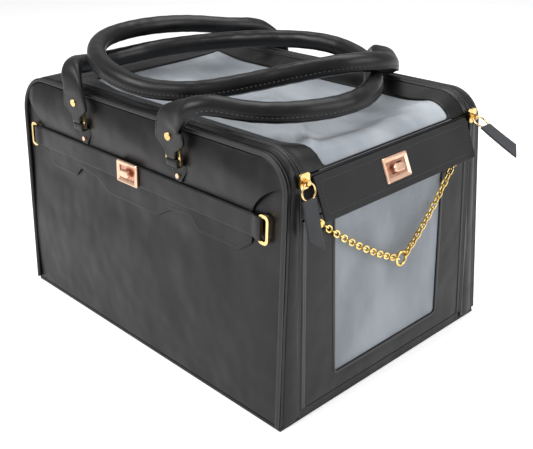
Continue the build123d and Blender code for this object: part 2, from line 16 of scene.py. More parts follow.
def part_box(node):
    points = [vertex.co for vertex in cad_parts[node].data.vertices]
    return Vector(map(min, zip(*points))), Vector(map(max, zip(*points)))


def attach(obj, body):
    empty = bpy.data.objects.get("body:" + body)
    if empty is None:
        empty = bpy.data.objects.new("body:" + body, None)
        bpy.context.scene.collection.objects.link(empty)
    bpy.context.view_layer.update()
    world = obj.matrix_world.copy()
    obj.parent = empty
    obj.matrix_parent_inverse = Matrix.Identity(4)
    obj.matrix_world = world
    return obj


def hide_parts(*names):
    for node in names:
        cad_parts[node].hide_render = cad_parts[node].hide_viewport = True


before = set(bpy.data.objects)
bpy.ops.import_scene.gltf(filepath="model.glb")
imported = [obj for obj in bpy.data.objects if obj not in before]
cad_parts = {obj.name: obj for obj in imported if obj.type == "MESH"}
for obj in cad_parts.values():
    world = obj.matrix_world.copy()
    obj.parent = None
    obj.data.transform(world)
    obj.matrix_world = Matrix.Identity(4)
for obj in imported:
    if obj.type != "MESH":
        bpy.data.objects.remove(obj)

Array = NDArray[np.float64]
Value = "Socket | float | Sequence[float]"
Surface = Callable[[Array, Array, Array], Array]
MM = 0.001
NEAR_PULL_LIFT = 9.0   # degrees that each pull rests swung out from hanging
FAR_PULL_LIFT = 62.0
log = logging.getLogger("carrier")


# ---------------------------------------------------------------- shader maths


class Socket:
    """Output of a node, with arithmetic that adds Math nodes."""

    def __init__(self, graph: "Graph", out: bpy.types.NodeSocket) -> None:
        """Wrap one output socket of a graph."""
        self.graph = graph
        self.out = out

    def math(self, operation: str, *values: "Value") -> "Socket":
        """Math node of this socket and the given values."""
        return self.graph.math(operation, self, *values)

    def __add__(self, other: "Value") -> "Socket":
        """Sum."""
        return self.math("ADD", other)

    def __radd__(self, other: "Value") -> "Socket":
        """Sum, with the number first."""
        return self.graph.math("ADD", other, self)

    def __sub__(self, other: "Value") -> "Socket":
        """Difference."""
        return self.math("SUBTRACT", other)

    def __rsub__(self, other: "Value") -> "Socket":
        """Difference, with the number first."""
        return self.graph.math("SUBTRACT", other, self)

    def __mul__(self, other: "Value") -> "Socket":
        """Product."""
        return self.math("MULTIPLY", other)

    def __rmul__(self, other: "Value") -> "Socket":
        """Product, with the number first."""
        return self.graph.math("MULTIPLY", other, self)

    def __pow__(self, other: "Value") -> "Socket":
        """Power."""
        return self.math("POWER", other)

    def between(self, low: float, high: float) -> "Socket":
        """0 at low and under, 1 at high and over, smooth in between."""
        node = self.graph.node("ShaderNodeMapRange", {"interpolation_type": "SMOOTHSTEP"}, {
            "Value": self, "From Min": low, "From Max": high})
        return node["Result"]


class Outputs:
    """A made node, whose outputs are read by name or number."""

    def __init__(self, graph: "Graph", made: bpy.types.Node) -> None:
        """Keep the graph and its node."""
        self.graph = graph
        self.made = made

    def __getitem__(self, key: "str | int") -> Socket:
        """Output socket with that name or number."""
        return Socket(self.graph, self.made.outputs[key])


class Graph:
    """Node tree of one material."""

    def __init__(self, name: str) -> None:
        """Start an empty node tree.

        Args:
            name: the material's name.
        """
        self.material = bpy.data.materials.new(name)
        self.material.use_nodes = True
        self.tree = self.material.node_tree
        self.tree.nodes.clear()

    def node(self, kind: str, settings: dict | None = None, inputs: dict | None = None) -> Outputs:
        """Any node, with its settings set before its sockets.

        Args:
            kind: the node's type.
            settings: attributes of the node; "stops" sets a ramp's positions and colours.
            inputs: socket names or numbers with their values or links.

        Returns:
            The node's outputs.
        """
        made = self.tree.nodes.new(kind)
        for key, value in (settings or {}).items():
            if key == "stops":
                ramp = made.color_ramp
                for number, (position, colour) in enumerate(value):
                    stop = ramp.elements[number] if number < 2 else ramp.elements.new(position)
                    stop.position = position
                    stop.color = colour
            else:
                setattr(made, key, value)
        for key, value in (inputs or {}).items():
            if isinstance(value, Socket):
                self.tree.links.new(value.out, made.inputs[key])
            else:
                made.inputs[key].default_value = value
        return Outputs(self, made)

    def math(self, operation: str, *values: "Value") -> Socket:
        """Math node of up to three values."""
        return self.node("ShaderNodeMath", {"operation": operation}, dict(enumerate(values)))[0]

    def mix(self, share: "Value", low: "Value", high: "Value") -> Socket:
        """Colour from low to high as share goes from 0 to 1."""
        made = self.node("ShaderNodeMix", {"data_type": "RGBA"}, {0: share, 6: low, 7: high})
        return made[2]

    def place(self) -> Socket:
        """Object coordinates in metres."""
        return self.node("ShaderNodeTexCoord")["Object"]

    def surface_map(self) -> Socket:
        """The piece's own UV map, in metres along and across it."""
        return self.node("ShaderNodeUVMap", {"uv_map": "cut"})[0]

    def noise(self, where: Socket, scale: float, detail: float = 3.0) -> Socket:
        """Noise from 0 to 1, with scale in cycles a metre."""
        made = self.node("ShaderNodeTexNoise", None, {"Vector": where, "Scale": scale, "Detail": detail})
        return made[0]

    def cells(self, where: Socket, scale: float) -> Socket:
        """Distance to the middle of the nearest cell."""
        made = self.node("ShaderNodeTexVoronoi", {"feature": "SMOOTH_F1"}, {
            "Vector": where, "Scale": scale, "Smoothness": 0.6})
        return made["Distance"]

    def bump(self, height: Socket, strength: float, depth: float, under: Socket | None = None) -> Socket:
        """Normal of a surface with this height, depth in metres."""
        inputs: dict = {"Strength": strength, "Distance": depth, "Height": height}
        if under is not None:
            inputs["Normal"] = under
        return self.node("ShaderNodeBump", None, inputs)[0]

    def principled(self, inputs: dict) -> bpy.types.Material:
        """Finish the material with one Principled shader."""
        shader = self.node("ShaderNodeBsdfPrincipled", None, inputs)
        self.node("ShaderNodeOutputMaterial", None, {"Surface": shader[0]})
        return self.material


# -------------------------------------------------------------------- finishes


@dataclass(frozen=True)
class LeatherFinish:
    """Pebbled leather: small rounded grains, slow changes of tone and a satin gloss."""

    name: str
    dark: tuple[float, float, float] = (0.0028, 0.0028, 0.0031)
    light: tuple[float, float, float] = (0.0075, 0.0074, 0.0080)
    gloss: tuple[float, float] = (0.33, 0.46)
    grain: float = 780.0
    depth: float = 0.00022
    strength: float = 0.42
    coat: float = 0.0
    sheen: float = 0.30
    sway: float = 0.010

    def build(self) -> bpy.types.Material:
        """Grain from smooth cells broken up by noise; tone and gloss follow slower noise."""
        graph = Graph(self.name)
        where = graph.place()
        tone = graph.noise(where, 26.0, 4.0)
        fine = graph.noise(where, 2100.0, 2.0)
        grain = graph.cells(where, self.grain)
        creases = graph.noise(where, 95.0, 5.0)
        height = (1.0 - grain) + fine * 0.25 + creases * 0.8
        worn = graph.noise(where, 60.0, 3.0).between(0.5, 0.78)
        slow = graph.noise(where, 15.0, 2.0)
        share = tone.between(0.3, 0.72) * 0.75 + worn * 0.25
        colour = graph.mix(share, (*self.dark, 1.0), (*self.light, 1.0))
        low, high = self.gloss
        roughness = tone.between(0.25, 0.75) * (high - low) + low + fine * 0.04
        return graph.principled({
            "Base Color": colour,
            "Roughness": roughness,
            "Specular IOR Level": self.sheen,
            "Coat Weight": self.coat,
            "Coat Roughness": 0.38,
            "Normal": graph.bump(height, self.strength, self.depth, graph.bump(slow, 0.5, self.sway)),
        })


@dataclass(frozen=True)
class MetalFinish:
    """Plated metal with faint haze and fine polishing marks."""

    name: str
    bright: tuple[float, float, float]
    deep: tuple[float, float, float]
    gloss: float = 0.2

    def build(self) -> bpy.types.Material:
        """Colour and gloss follow noise; fine stretched noise makes the polishing marks."""
        graph = Graph(self.name)
        where = graph.place()
        haze = graph.noise(where, 120.0, 3.0)
        stretched = graph.node("ShaderNodeMapping", None, {"Vector": where, "Scale": (0.15, 1.0, 1.0)})[0]
        marks = graph.noise(stretched, 3200.0, 2.0)
        colour = graph.mix(haze.between(0.3, 0.75), (*self.bright, 1.0), (*self.deep, 1.0))
        return graph.principled({
            "Base Color": colour,
            "Metallic": 1.0,
            "Roughness": haze * 0.12 + marks * 0.05 + (self.gloss - 0.08),
            "Normal": graph.bump(marks, 0.06, 0.00004),
        })


@dataclass(frozen=True)
class MeshFinish:
    """Fine knitted mesh: rows of small holes in a bluish grey yarn, with painted highlight and shade streaks.
    """

    name: str
    # yarn is the colour where the painted highlight streaks are brightest, shade the painted shade between
    # them and in the holes
    yarn: tuple[float, float, float] = (0.50, 0.54, 0.58)
    shade: tuple[float, float, float] = (0.27, 0.30, 0.34)
    pitch: float = 0.0016
    cover: float = 0.5
    # turn of the painted highlight streaks
    drawn: float = 0.5

    def build(self) -> bpy.types.Material:
        """Holes where two slanting sine waves are both low; yarn is lighter along the rows. Slow stretched
        noise paints soft highlight and shade streaks into the colour.
        """
        graph = Graph(self.name)
        where = graph.surface_map()
        parts = graph.node("ShaderNodeSeparateXYZ", None, {"Vector": where})
        along, across = parts[0], parts[1]
        turn = 2 * pi / self.pitch
        first = ((along + across) * (turn * 0.7)).math("SINE")
        second = ((along - across) * (turn * 0.7)).math("SINE")
        weave = (first * second * 0.5 + 0.5).between(0.1, 0.8)
        # stretched, turned noise: painted sheen and crease highlight streaks, most of the colour's change
        drawn = graph.node("ShaderNodeMapping", None, {
            "Vector": where, "Rotation": (0.0, 0.0, self.drawn), "Scale": (0.45, 1.0, 1.0)})[0]
        slow = graph.noise(drawn, 15.0, 3.0).between(0.34, 0.68)
        colour = graph.mix(weave * 0.35 + slow * 0.65, (*self.shade, 1.0), (*self.yarn, 1.0))
        return graph.principled({
            "Base Color": colour,
            "Roughness": 0.55 - weave * 0.1,
            "Alpha": weave * (0.9 - self.cover) + slow * 0.1 + self.cover,
            "Sheen Weight": 0.25,
            "Sheen Roughness": 0.4,
            "Normal": graph.bump(weave, 0.35, 0.0003),
        })


@dataclass(frozen=True)
class WovenFinish:
    """Plain woven cloth or tape: two crossing sets of yarns."""

    name: str
    dark: tuple[float, float, float]
    light: tuple[float, float, float]
    pitch: float = 0.0009
    roughness: float = 0.8

    def build(self) -> bpy.types.Material:
        """Height is the larger of two sine waves, one along each axis, shifted by turns."""
        graph = Graph(self.name)
        parts = graph.node("ShaderNodeSeparateXYZ", None, {"Vector": graph.place()})
        turn = 2 * pi / self.pitch
        warp = ((parts[0] + parts[2]) * turn).math("SINE")
        weft = ((parts[1] - parts[2] * 0.35) * turn).math("SINE")
        height = warp.math("MAXIMUM", weft)
        slow = graph.noise(graph.place(), 55.0, 4.0)
        share = height * 0.3 + slow * 0.7
        colour = graph.mix(share.between(0.1, 0.9), (*self.dark, 1.0), (*self.light, 1.0))
        return graph.principled({
            "Base Color": colour,
            "Roughness": slow * 0.12 + self.roughness,
            "Sheen Weight": 0.2,
            "Normal": graph.bump(height, 0.4, 0.0002),
        })


@dataclass(frozen=True)
class PlainFinish:
    """Smooth piece with a slow change of tone: thread, zip plastic, edge paint or backdrop."""

    name: str
    dark: tuple[float, float, float]
    light: tuple[float, float, float]
    roughness: float = 0.6
    scale: float = 400.0
    glow: float = 0.0

    def build(self) -> bpy.types.Material:
        """Colour, gloss and a faint bump all follow one noise."""
        graph = Graph(self.name)
        noise = graph.noise(graph.place(), self.scale, 4.0)
        colour = graph.mix(noise.between(0.25, 0.75), (*self.dark, 1.0), (*self.light, 1.0))
        return graph.principled({
            "Base Color": colour,
            "Emission Color": (1.0, 1.0, 1.0, 1.0),
            "Emission Strength": self.glow,
            "Roughness": noise * 0.14 + (self.roughness - 0.07),
            "Normal": graph.bump(noise, 0.12, 0.0001),
        })


class Finish(Enum):
    """Every finish of the bag."""

    LEATHER = LeatherFinish("black_leather")
    HANDLE = LeatherFinish("handle_leather", gloss=(0.30, 0.42), depth=0.00016, sheen=0.32)
    FLAP = LeatherFinish("charcoal_leather", dark=(0.011, 0.0112, 0.0122), light=(0.021, 0.0212, 0.0230),
                         gloss=(0.58, 0.7), depth=0.0001)
    # black pull tab leather lightened to grey: painted sheen
    TAB = LeatherFinish("tab_leather", dark=(0.026, 0.027, 0.030), light=(0.048, 0.050, 0.056),
                        gloss=(0.5, 0.62), depth=0.0001)
    PIPING = LeatherFinish("piping_leather", dark=(0.0018, 0.0018, 0.0020), light=(0.005, 0.005, 0.0054),
                           gloss=(0.3, 0.42), depth=0.0001, sheen=0.35)
    GOLD = MetalFinish("pale_gold", (0.86, 0.64, 0.30), (0.68, 0.46, 0.18), 0.2)
    CHAIN = MetalFinish("yellow_gold", (0.90, 0.66, 0.24), (0.70, 0.46, 0.12), 0.2)
    ROSE = MetalFinish("rose_gold", (0.85, 0.56, 0.36), (0.70, 0.41, 0.24), 0.17)
    COPPER = MetalFinish("copper_recess", (0.58, 0.31, 0.22), (0.42, 0.20, 0.14), 0.32)
    MESH = MeshFinish("knitted_mesh")
    # darker copy of the knitted mesh: painted shade of the upright door, its streaks turned into a diagonal
    # painted highlight
    SHADED_DOOR_MESH = MeshFinish("door_mesh_knit", (0.34, 0.375, 0.415), (0.19, 0.215, 0.245), drawn=1.1)
    ZIP = PlainFinish("zip_coil", (0.0024, 0.0024, 0.0027), (0.0075, 0.0075, 0.0082), 0.36, 900.0)
    THREAD = PlainFinish("black_thread", (0.020, 0.019, 0.019), (0.060, 0.057, 0.056), 0.5, 2500.0)
    EDGE = PlainFinish("painted_edge", (0.0028, 0.0028, 0.0031), (0.008, 0.008, 0.009), 0.42, 700.0)
    MAT = WovenFinish("mat_cloth", (0.030, 0.031, 0.034), (0.062, 0.064, 0.070), 0.0016)
    BOARD = PlainFinish("board", (0.012, 0.012, 0.013), (0.022, 0.022, 0.024), 0.6, 300.0)
    FLOOR = PlainFinish("studio_floor", (0.86, 0.86, 0.86), (0.88, 0.88, 0.88), 0.9, 3.0, 0.42)

    def material(self) -> bpy.types.Material:
        """The finish's one material, made when it is first asked for."""
        made = bpy.data.materials.get(self.value.name)
        return made or self.value.build()


SLOTS = {
    Finish.LEATHER: "leather", Finish.HANDLE: "leather", Finish.FLAP: "leather", Finish.TAB: "leather",
    Finish.PIPING: "piping_leather", Finish.GOLD: "gold", Finish.CHAIN: "gold", Finish.ROSE: "rose_gold",
    Finish.COPPER: "rose_gold", Finish.MESH: "mesh", Finish.SHADED_DOOR_MESH: "mesh", Finish.ZIP: "zip",
    Finish.THREAD: "leather", Finish.EDGE: "leather", Finish.MAT: "mat_fabric", Finish.BOARD: "board",
}


class Side(Enum):
    """The two long sides, each the other's mirror image."""

    NEAR = "near"
    FAR = "far"


def dress(finish: Finish, *nodes: str) -> None:
    """Give CAD nodes that stay a finish.

    Args:
        finish: the finish.
        nodes: names of CAD nodes.
    """
    for name in nodes:
        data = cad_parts[name].data
        data.materials.clear()
        data.materials.append(finish.material())
        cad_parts[name]
        SLOTS[finish]
        log.info("dressed %s with %s", name, finish.value.name)


# ------------------------------------------------------------------ mesh making


@dataclass(frozen=True)
class Span:
    """Sample places from 0 to 1, and how far each is pulled in by the rounded rim, 0 to 1."""

    at: Array
    drop: Array
    closed: bool = False

    @staticmethod
    def edged(count: int, share: float) -> "Span":
        """Samples with a quarter-circle rim at both ends.

        Args:
            count: samples between the rims.
            share: the rim's radius as a share of the whole.

        Returns:
            The span, whose drop is 1 - sqrt(1 - (1 - d)^2) at d radii from an end.
        """
        steps = np.array([0.0, 0.12, 0.45, 1.0])
        drop = 1 - np.sqrt(1 - (1 - steps) ** 2)
        middle = np.linspace(share, 1 - share, count)[1:-1]
        at = np.concatenate([steps * share, middle, 1 - steps[::-1] * share])
        return Span(at, np.concatenate([drop, np.zeros(middle.size), drop[::-1]]))

    @staticmethod
    def even(count: int, closed: bool = False) -> "Span":
        """Even samples with no rim; a closed span leaves out its last place."""
        at = np.linspace(0, 1, count, endpoint=not closed)
        return Span(at, np.zeros(count), closed)


@dataclass
class Shape:
    """Vertices, faces and UVs gathered from grids, in millimetres."""

    points: list[Array] = field(default_factory=list)
    quads: list[NDArray[np.int64]] = field(default_factory=list)
    cuts: list[Array] = field(default_factory=list)
    count: int = 0

    def grids(self, many: Array, close_u: bool = False, close_v: bool = False,
              cut: Array | None = None) -> "Shape":
        """Add grids of quads.

        Args:
            many: points as grid, row, column, coordinate.
            close_u: join the last row to the first.
            close_v: join the last column to the first.
            cut: UV of each point, or None for zeros.

        Returns:
            The shape itself.
        """
        sets, rows, columns = many.shape[:3]
        u = np.arange(rows if close_u else rows - 1)
        v = np.arange(columns if close_v else columns - 1)
        k, u, v = np.meshgrid(np.arange(sets), u, v, indexing="ij")
        u2, v2 = (u + 1) % rows, (v + 1) % columns
        corner = [(k * rows + a) * columns + b for a, b in ((u, v), (u2, v), (u2, v2), (u, v2))]
        self.quads.append(np.stack(corner, -1).reshape(-1, 4) + self.count)
        self.points.append(many.reshape(-1, 3))
        flat = np.zeros((self.points[-1].shape[0], 2)) if cut is None else cut.reshape(-1, 2)
        self.cuts.append(flat)
        self.count += self.points[-1].shape[0]
        return self

    def grid(self, points: Array, close_u: bool = False, close_v: bool = False,
             cut: Array | None = None) -> "Shape":
        """Add one grid of quads; see grids."""
        return self.grids(points[None], close_u, close_v, None if cut is None else cut[None])

    def slab(self, surface: Surface, along: Span, across: Span, thickness: float, rim: float,
             lift: Callable[[Array, Array], Array] | float = 0.0) -> "Shape":
        """Add a closed sheet with rounded rims.

        Its section goes over the top face and back along the under face; an open sheet's two end
        sections are filled by a strip between the faces.

        Args:
            surface: point at (u, v, lift), each from 0 to 1 and lift in millimetres outwards.
            along: samples in u, which may be closed.
            across: samples in v.
            thickness: between the faces.
            rim: radius of the rounded edges, at most half the thickness.
            lift: of the top face, a number or a function of (u, v).

        Returns:
            The shape itself.
        """
        u, v = np.meshgrid(along.at, across.at, indexing="ij")
        drop = rim * np.maximum(along.drop[:, None], across.drop[None, :])
        base = lift(u, v) if callable(lift) else np.full(u.shape, float(lift))
        top = surface(u, v, base - drop)
        under = surface(u, v, base - thickness + drop)
        cut = np.stack([u, v], -1)
        loop = np.concatenate([top, under[:, ::-1]], 1)
        self.grid(loop, along.closed, True, np.concatenate([cut, cut[:, ::-1]], 1))
        if not along.closed:
            for end in (0, -1):
                self.grid(np.stack([top[end], under[end]]))
        return self

    def tube(self, path: Array, wide: Array, up: Array, section: Array, closed: bool = False) -> "Shape":
        """Add a section carried along a path, its ends closed by a fan.

        Args:
            path: centres.
            wide: unit vector across at each centre.
            up: unit vector upwards at each centre.
            section: (across, up) of each point of the section at each centre.
            closed: the path meets itself.

        Returns:
            The shape itself.
        """
        offset = section[..., :1] * wide[:, None] + section[..., 1:] * up[:, None]
        points = path[:, None] + offset
        if not closed:
            middle = np.repeat(points.mean(1, keepdims=True), points.shape[1], 1)
            points = np.concatenate([middle[:1], points, middle[-1:]])
        return self.grid(points, closed, True)

    def flipped(self) -> "Shape":
        """The same shape on the other long side, mirrored in the plane y = 0."""
        mirrored = [p * np.array([1.0, -1.0, 1.0]) for p in self.points]
        return Shape(mirrored, [q[:, ::-1] for q in self.quads], list(self.cuts), self.count)

    def on(self, side: Side) -> "Shape":
        """The shape as drawn for the near side, or its mirror image for the far side."""
        return self if side is Side.NEAR else self.flipped()

    def piece(self, name: str, finish: Finish, body: str, stands_for: Sequence[str] = (),
              sharp: float = 38.0, cut_size: tuple[float, float] = (1.0, 1.0)) -> bpy.types.Object:
        """Make the Blender piece, in metres, and let it ride on its body.

        Args:
            name: of the piece.
            finish: its finish.
            body: the CAD body it rides on.
            stands_for: CAD nodes that it replaces.
            sharp: edges that turn more than this many degrees stay sharp.
            cut_size: metres that the UV's 0 to 1 stands for.

        Returns:
            The object, at the origin, unturned and unscaled.
        """
        points = np.concatenate(self.points) * MM
        quads = np.concatenate(self.quads)
        mesh = bpy.data.meshes.new(name)
        mesh.vertices.add(len(points))
        mesh.vertices.foreach_set("co", points.ravel())
        mesh.loops.add(quads.size)
        mesh.loops.foreach_set("vertex_index", quads.ravel().astype(np.int32))
        mesh.polygons.add(len(quads))
        mesh.polygons.foreach_set("loop_start", np.arange(0, quads.size, 4, dtype=np.int32))
        cut = np.concatenate(self.cuts)[quads.ravel()] * np.array(cut_size)
        mesh.uv_layers.new(name="cut").data.foreach_set("uv", cut.ravel())
        mesh.update(calc_edges=True)
        mesh.validate()
        solid = bmesh.new()
        solid.from_mesh(mesh)
        bmesh.ops.remove_doubles(solid, verts=solid.verts, dist=2e-6)
        bmesh.ops.dissolve_degenerate(solid, edges=solid.edges, dist=1e-7)
        bmesh.ops.recalc_face_normals(solid, faces=solid.faces)
        solid.to_mesh(mesh)
        solid.free()
        mesh.polygons.foreach_set("use_smooth", np.ones(len(mesh.polygons), bool))
        mesh.set_sharp_from_angle(angle=radians(sharp))
        mesh.materials.append(finish.material())
        made = bpy.data.objects.new(name, mesh)
        bpy.context.scene.collection.objects.link(made)
        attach(made, body)
        SLOTS[finish]
        if stands_for:
            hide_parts(*stands_for)
        log.info("%s: %d faces on %s", name, len(mesh.polygons), body)
        return made


def unit(vectors: Array) -> Array:
    """Each vector divided by its length."""
    return vectors / np.linalg.norm(vectors, axis=-1, keepdims=True)


def smooth(x: Array) -> Array:
    """0 below 0, 1 above 1 and 3x^2 - 2x^3 in between."""
    t = np.clip(x, 0, 1)
    return t * t * (3 - 2 * t)


def rounded_loop(half_a: float, half_b: float, radius: float, steps: int = 8, bend: int = 5) -> Array:
    """Closed outline of a rounded rectangle.

    One quarter runs from the middle of the right side up a line, round an arc and back to the middle
    of the top; the other three are that quarter reflected.

    Args:
        half_a: half the width.
        half_b: half the height.
        radius: of the corners.
        steps: samples on each straight part.
        bend: samples on each corner.

    Returns:
        Points in order, (a, b).
    """
    turn = np.linspace(0, pi / 2, bend)
    arc = np.stack([half_a - radius + radius * np.cos(turn), half_b - radius + radius * np.sin(turn)], -1)
    rise = np.linspace(0, half_b - radius, steps, endpoint=False)
    run = np.linspace(half_a - radius, 0, steps + 1)[1:]
    quarter = np.concatenate([
        np.stack([np.full(steps, half_a), rise], -1), arc, np.stack([run, np.full(steps, half_b)], -1)])
    left = quarter[::-1][1:] * [-1, 1]
    lower = np.concatenate([quarter, left])[::-1][1:-1] * [1, -1]
    return np.concatenate([quarter, left, lower])


def band(place: Surface, inner: Array, outer: Array) -> Surface:
    """Surface between two outlines with as many points: straight from inner to outer.

    Args:
        place: point at (a, b, lift).
        inner: outline at v = 0.
        outer: outline at v = 1.

    Returns:
        Surface whose u goes round the outlines.
    """

    def surface(u: Array, v: Array, lift: Array) -> Array:
        """Point at share u round the loop and share v across it."""
        row = np.rint(u * len(inner)).astype(int)
        ab = inner[row] * (1 - v[..., None]) + outer[row] * v[..., None]
        return place(ab[..., 0], ab[..., 1], lift)

    return surface


def resample(path: Array, pitch: float) -> tuple[Array, Array]:
    """Places every pitch along a path and their shares of its length.

    Args:
        path: points.
        pitch: distance between places.

    Returns:
        The places, and each one's distance along the path.
    """
    run = np.concatenate([[0.0], np.cumsum(np.linalg.norm(np.diff(path, axis=0), axis=1))])
    at = np.arange(pitch / 2, run[-1], pitch)
    return np.stack([np.interp(at, run, path[:, i]) for i in range(3)], -1), at


@dataclass(frozen=True)
class StitchRow:
    """Row of thread stitches, each a slim pod that dips into the leather at its ends."""

    pitch: float = 3.6
    length: float = 2.7
    radius: float = 0.42

    def sew(self, shape: Shape, path: Array, out: Array) -> Shape:
        """Add the stitches along a path.

        A pod's radius is sqrt(1 - t^2) times the thread's, with t from -1 to 1 along it, and its
        middle line falls by t^2 of a radius towards its ends.

        Args:
            shape: what the stitches are added to.
            path: points on the surface.
            out: outward unit vector, one or one for each point.

        Returns:
            The shape.
        """
        centre, at = resample(path, self.pitch)
        forward = unit(np.gradient(centre, axis=0))
        run = np.concatenate([[0.0], np.cumsum(np.linalg.norm(np.diff(path, axis=0), axis=1))])
        outs = np.broadcast_to(out, path.shape)
        up = unit(np.stack([np.interp(at, run, outs[:, i]) for i in range(3)], -1))
        side = unit(np.cross(forward, up))
        t = np.linspace(-1, 1, 6)[:, None]
        turn = np.linspace(0, 2 * pi, 6, endpoint=False)[None]
        girth = self.radius * np.sqrt(1 - t**2)
        local = np.stack(np.broadcast_arrays(
            t * self.length / 2, girth * np.cos(turn), girth * np.sin(turn) - t**2 * self.radius), -1)
        axes = np.stack([forward, side, up], 1)
        many = centre[:, None, None] + np.einsum("uvi,kij->kuvj", local, axes)
        return shape.grids(many, close_v=True)


# ------------------------------------------------------------------- bag's form


@dataclass(frozen=True)
class Form:
    """The bag's overall form in millimetres, and places on it."""

    half_length: float
    height: float
    half_bottom: float
    half_top: float
    front_radius: float = 32.0
    rear_radius: float = 45.0
    gap: float = 0.4
    zip_top: float = 117.0
    zip_bottom: float = 125.0

    @staticmethod
    def read() -> "Form":
        """Read the overall sizes from the CAD nodes' boxes."""
        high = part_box("base_panel")[1]
        base_half = high.y / MM
        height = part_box("lid_frame")[1].z / MM
        foot_half, top_half, full_height = 150.0, 130.0, 258.0
        lean = (foot_half - top_half) / full_height
        return Form(high.x / MM, height, base_half, base_half - lean * height)

    @property
    def lean(self) -> float:
        """Angle that the long sides lean in by."""
        return atan((self.half_bottom - self.half_top) / self.height)

    def half_width(self, z: Array) -> Array:
        """Half the outside width at height z."""
        return self.half_bottom - z * (self.half_bottom - self.half_top) / self.height

    def zip_half(self, z: Array) -> Array:
        """Distance of each zip from the middle plane at height z."""
        return self.zip_bottom + z * (self.zip_top - self.zip_bottom) / self.height

    def rail(self, s: Array, lift: Array) -> tuple[Array, Array]:
        """Place on the end profile: up the front, round the corner, over the top and down the rear.

        Straight runs and two quarter circles, by arc length s from the front's foot; lift stands off
        along the profile's normal.

        Args:
            s: distance along the profile.
            lift: distance outwards.

        Returns:
            x and z.
        """
        front, rear = self.front_radius, self.rear_radius
        rise = self.height - front
        bend = front * pi / 2
        top = 2 * self.half_length - front - rear
        fall = rear * pi / 2
        a = np.clip((s - rise) / front, 0, pi / 2)
        b = np.clip((s - rise - bend - top) / rear, 0, pi / 2)
        along_top = np.clip(s - rise - bend, 0, top)
        x = self.half_length - front + (front + lift) * np.cos(a) - along_top
        z = np.minimum(s, rise) + (front + lift) * np.sin(a)
        x = x - (rear + lift) * np.sin(b)
        z = z - (rear + lift) * (1 - np.cos(b))
        past = np.maximum(s - rise - bend - top - fall, 0)
        return x, z - past

    def rail_at_front(self, z: float) -> float:
        """Distance along the profile of height z on the front or its corner."""
        rise = self.height - self.front_radius
        return z if z <= rise else rise + self.front_radius * asin((z - rise) / self.front_radius)

    def rail_at_top(self, x: float) -> float:
        """Distance along the profile of x on the top face."""
        return self.height - self.front_radius * (2 - pi / 2) + self.half_length - x

    @property
    def rail_end(self) -> float:
        """Length of the whole profile."""
        turns = (self.front_radius + self.rear_radius) * (pi / 2 - 2)
        return 2 * self.height + 2 * self.half_length + turns

    def over(self, s: Array, y: Array, lift: Array) -> Array:
        """Point on the band over the bag at distance s along it and y across it."""
        x, z = self.rail(s, lift)
        return np.stack(np.broadcast_arrays(x, y, z), -1)

    def side(self, x: Array, along: Array, lift: Array) -> Array:
        """Point on the near leaning side: x, distance up the slope and distance off it."""
        tilt = self.lean
        y = -self.half_bottom + along * sin(tilt) - lift * cos(tilt)
        return np.stack(np.broadcast_arrays(x, y, along * cos(tilt) + lift * sin(tilt)), -1)

    def side_out(self) -> Array:
        """Outward unit vector of the near side."""
        return np.array([0.0, -cos(self.lean), sin(self.lean)])

    def top_at(self, x: Array, inset: float = 0.0) -> Array:
        """Height of the end profile's top at x, inset all round."""
        front, rear = self.front_radius - inset, self.rear_radius - inset
        end = self.half_length - inset
        past_front = np.clip(x - (end - front), 0, front)
        past_rear = np.clip(-x - (end - rear), 0, rear)
        drop = front - np.sqrt(front**2 - past_front**2) + rear - np.sqrt(rear**2 - past_rear**2)
        return self.height - inset - drop


# ----------------------------------------------------------------------- shell


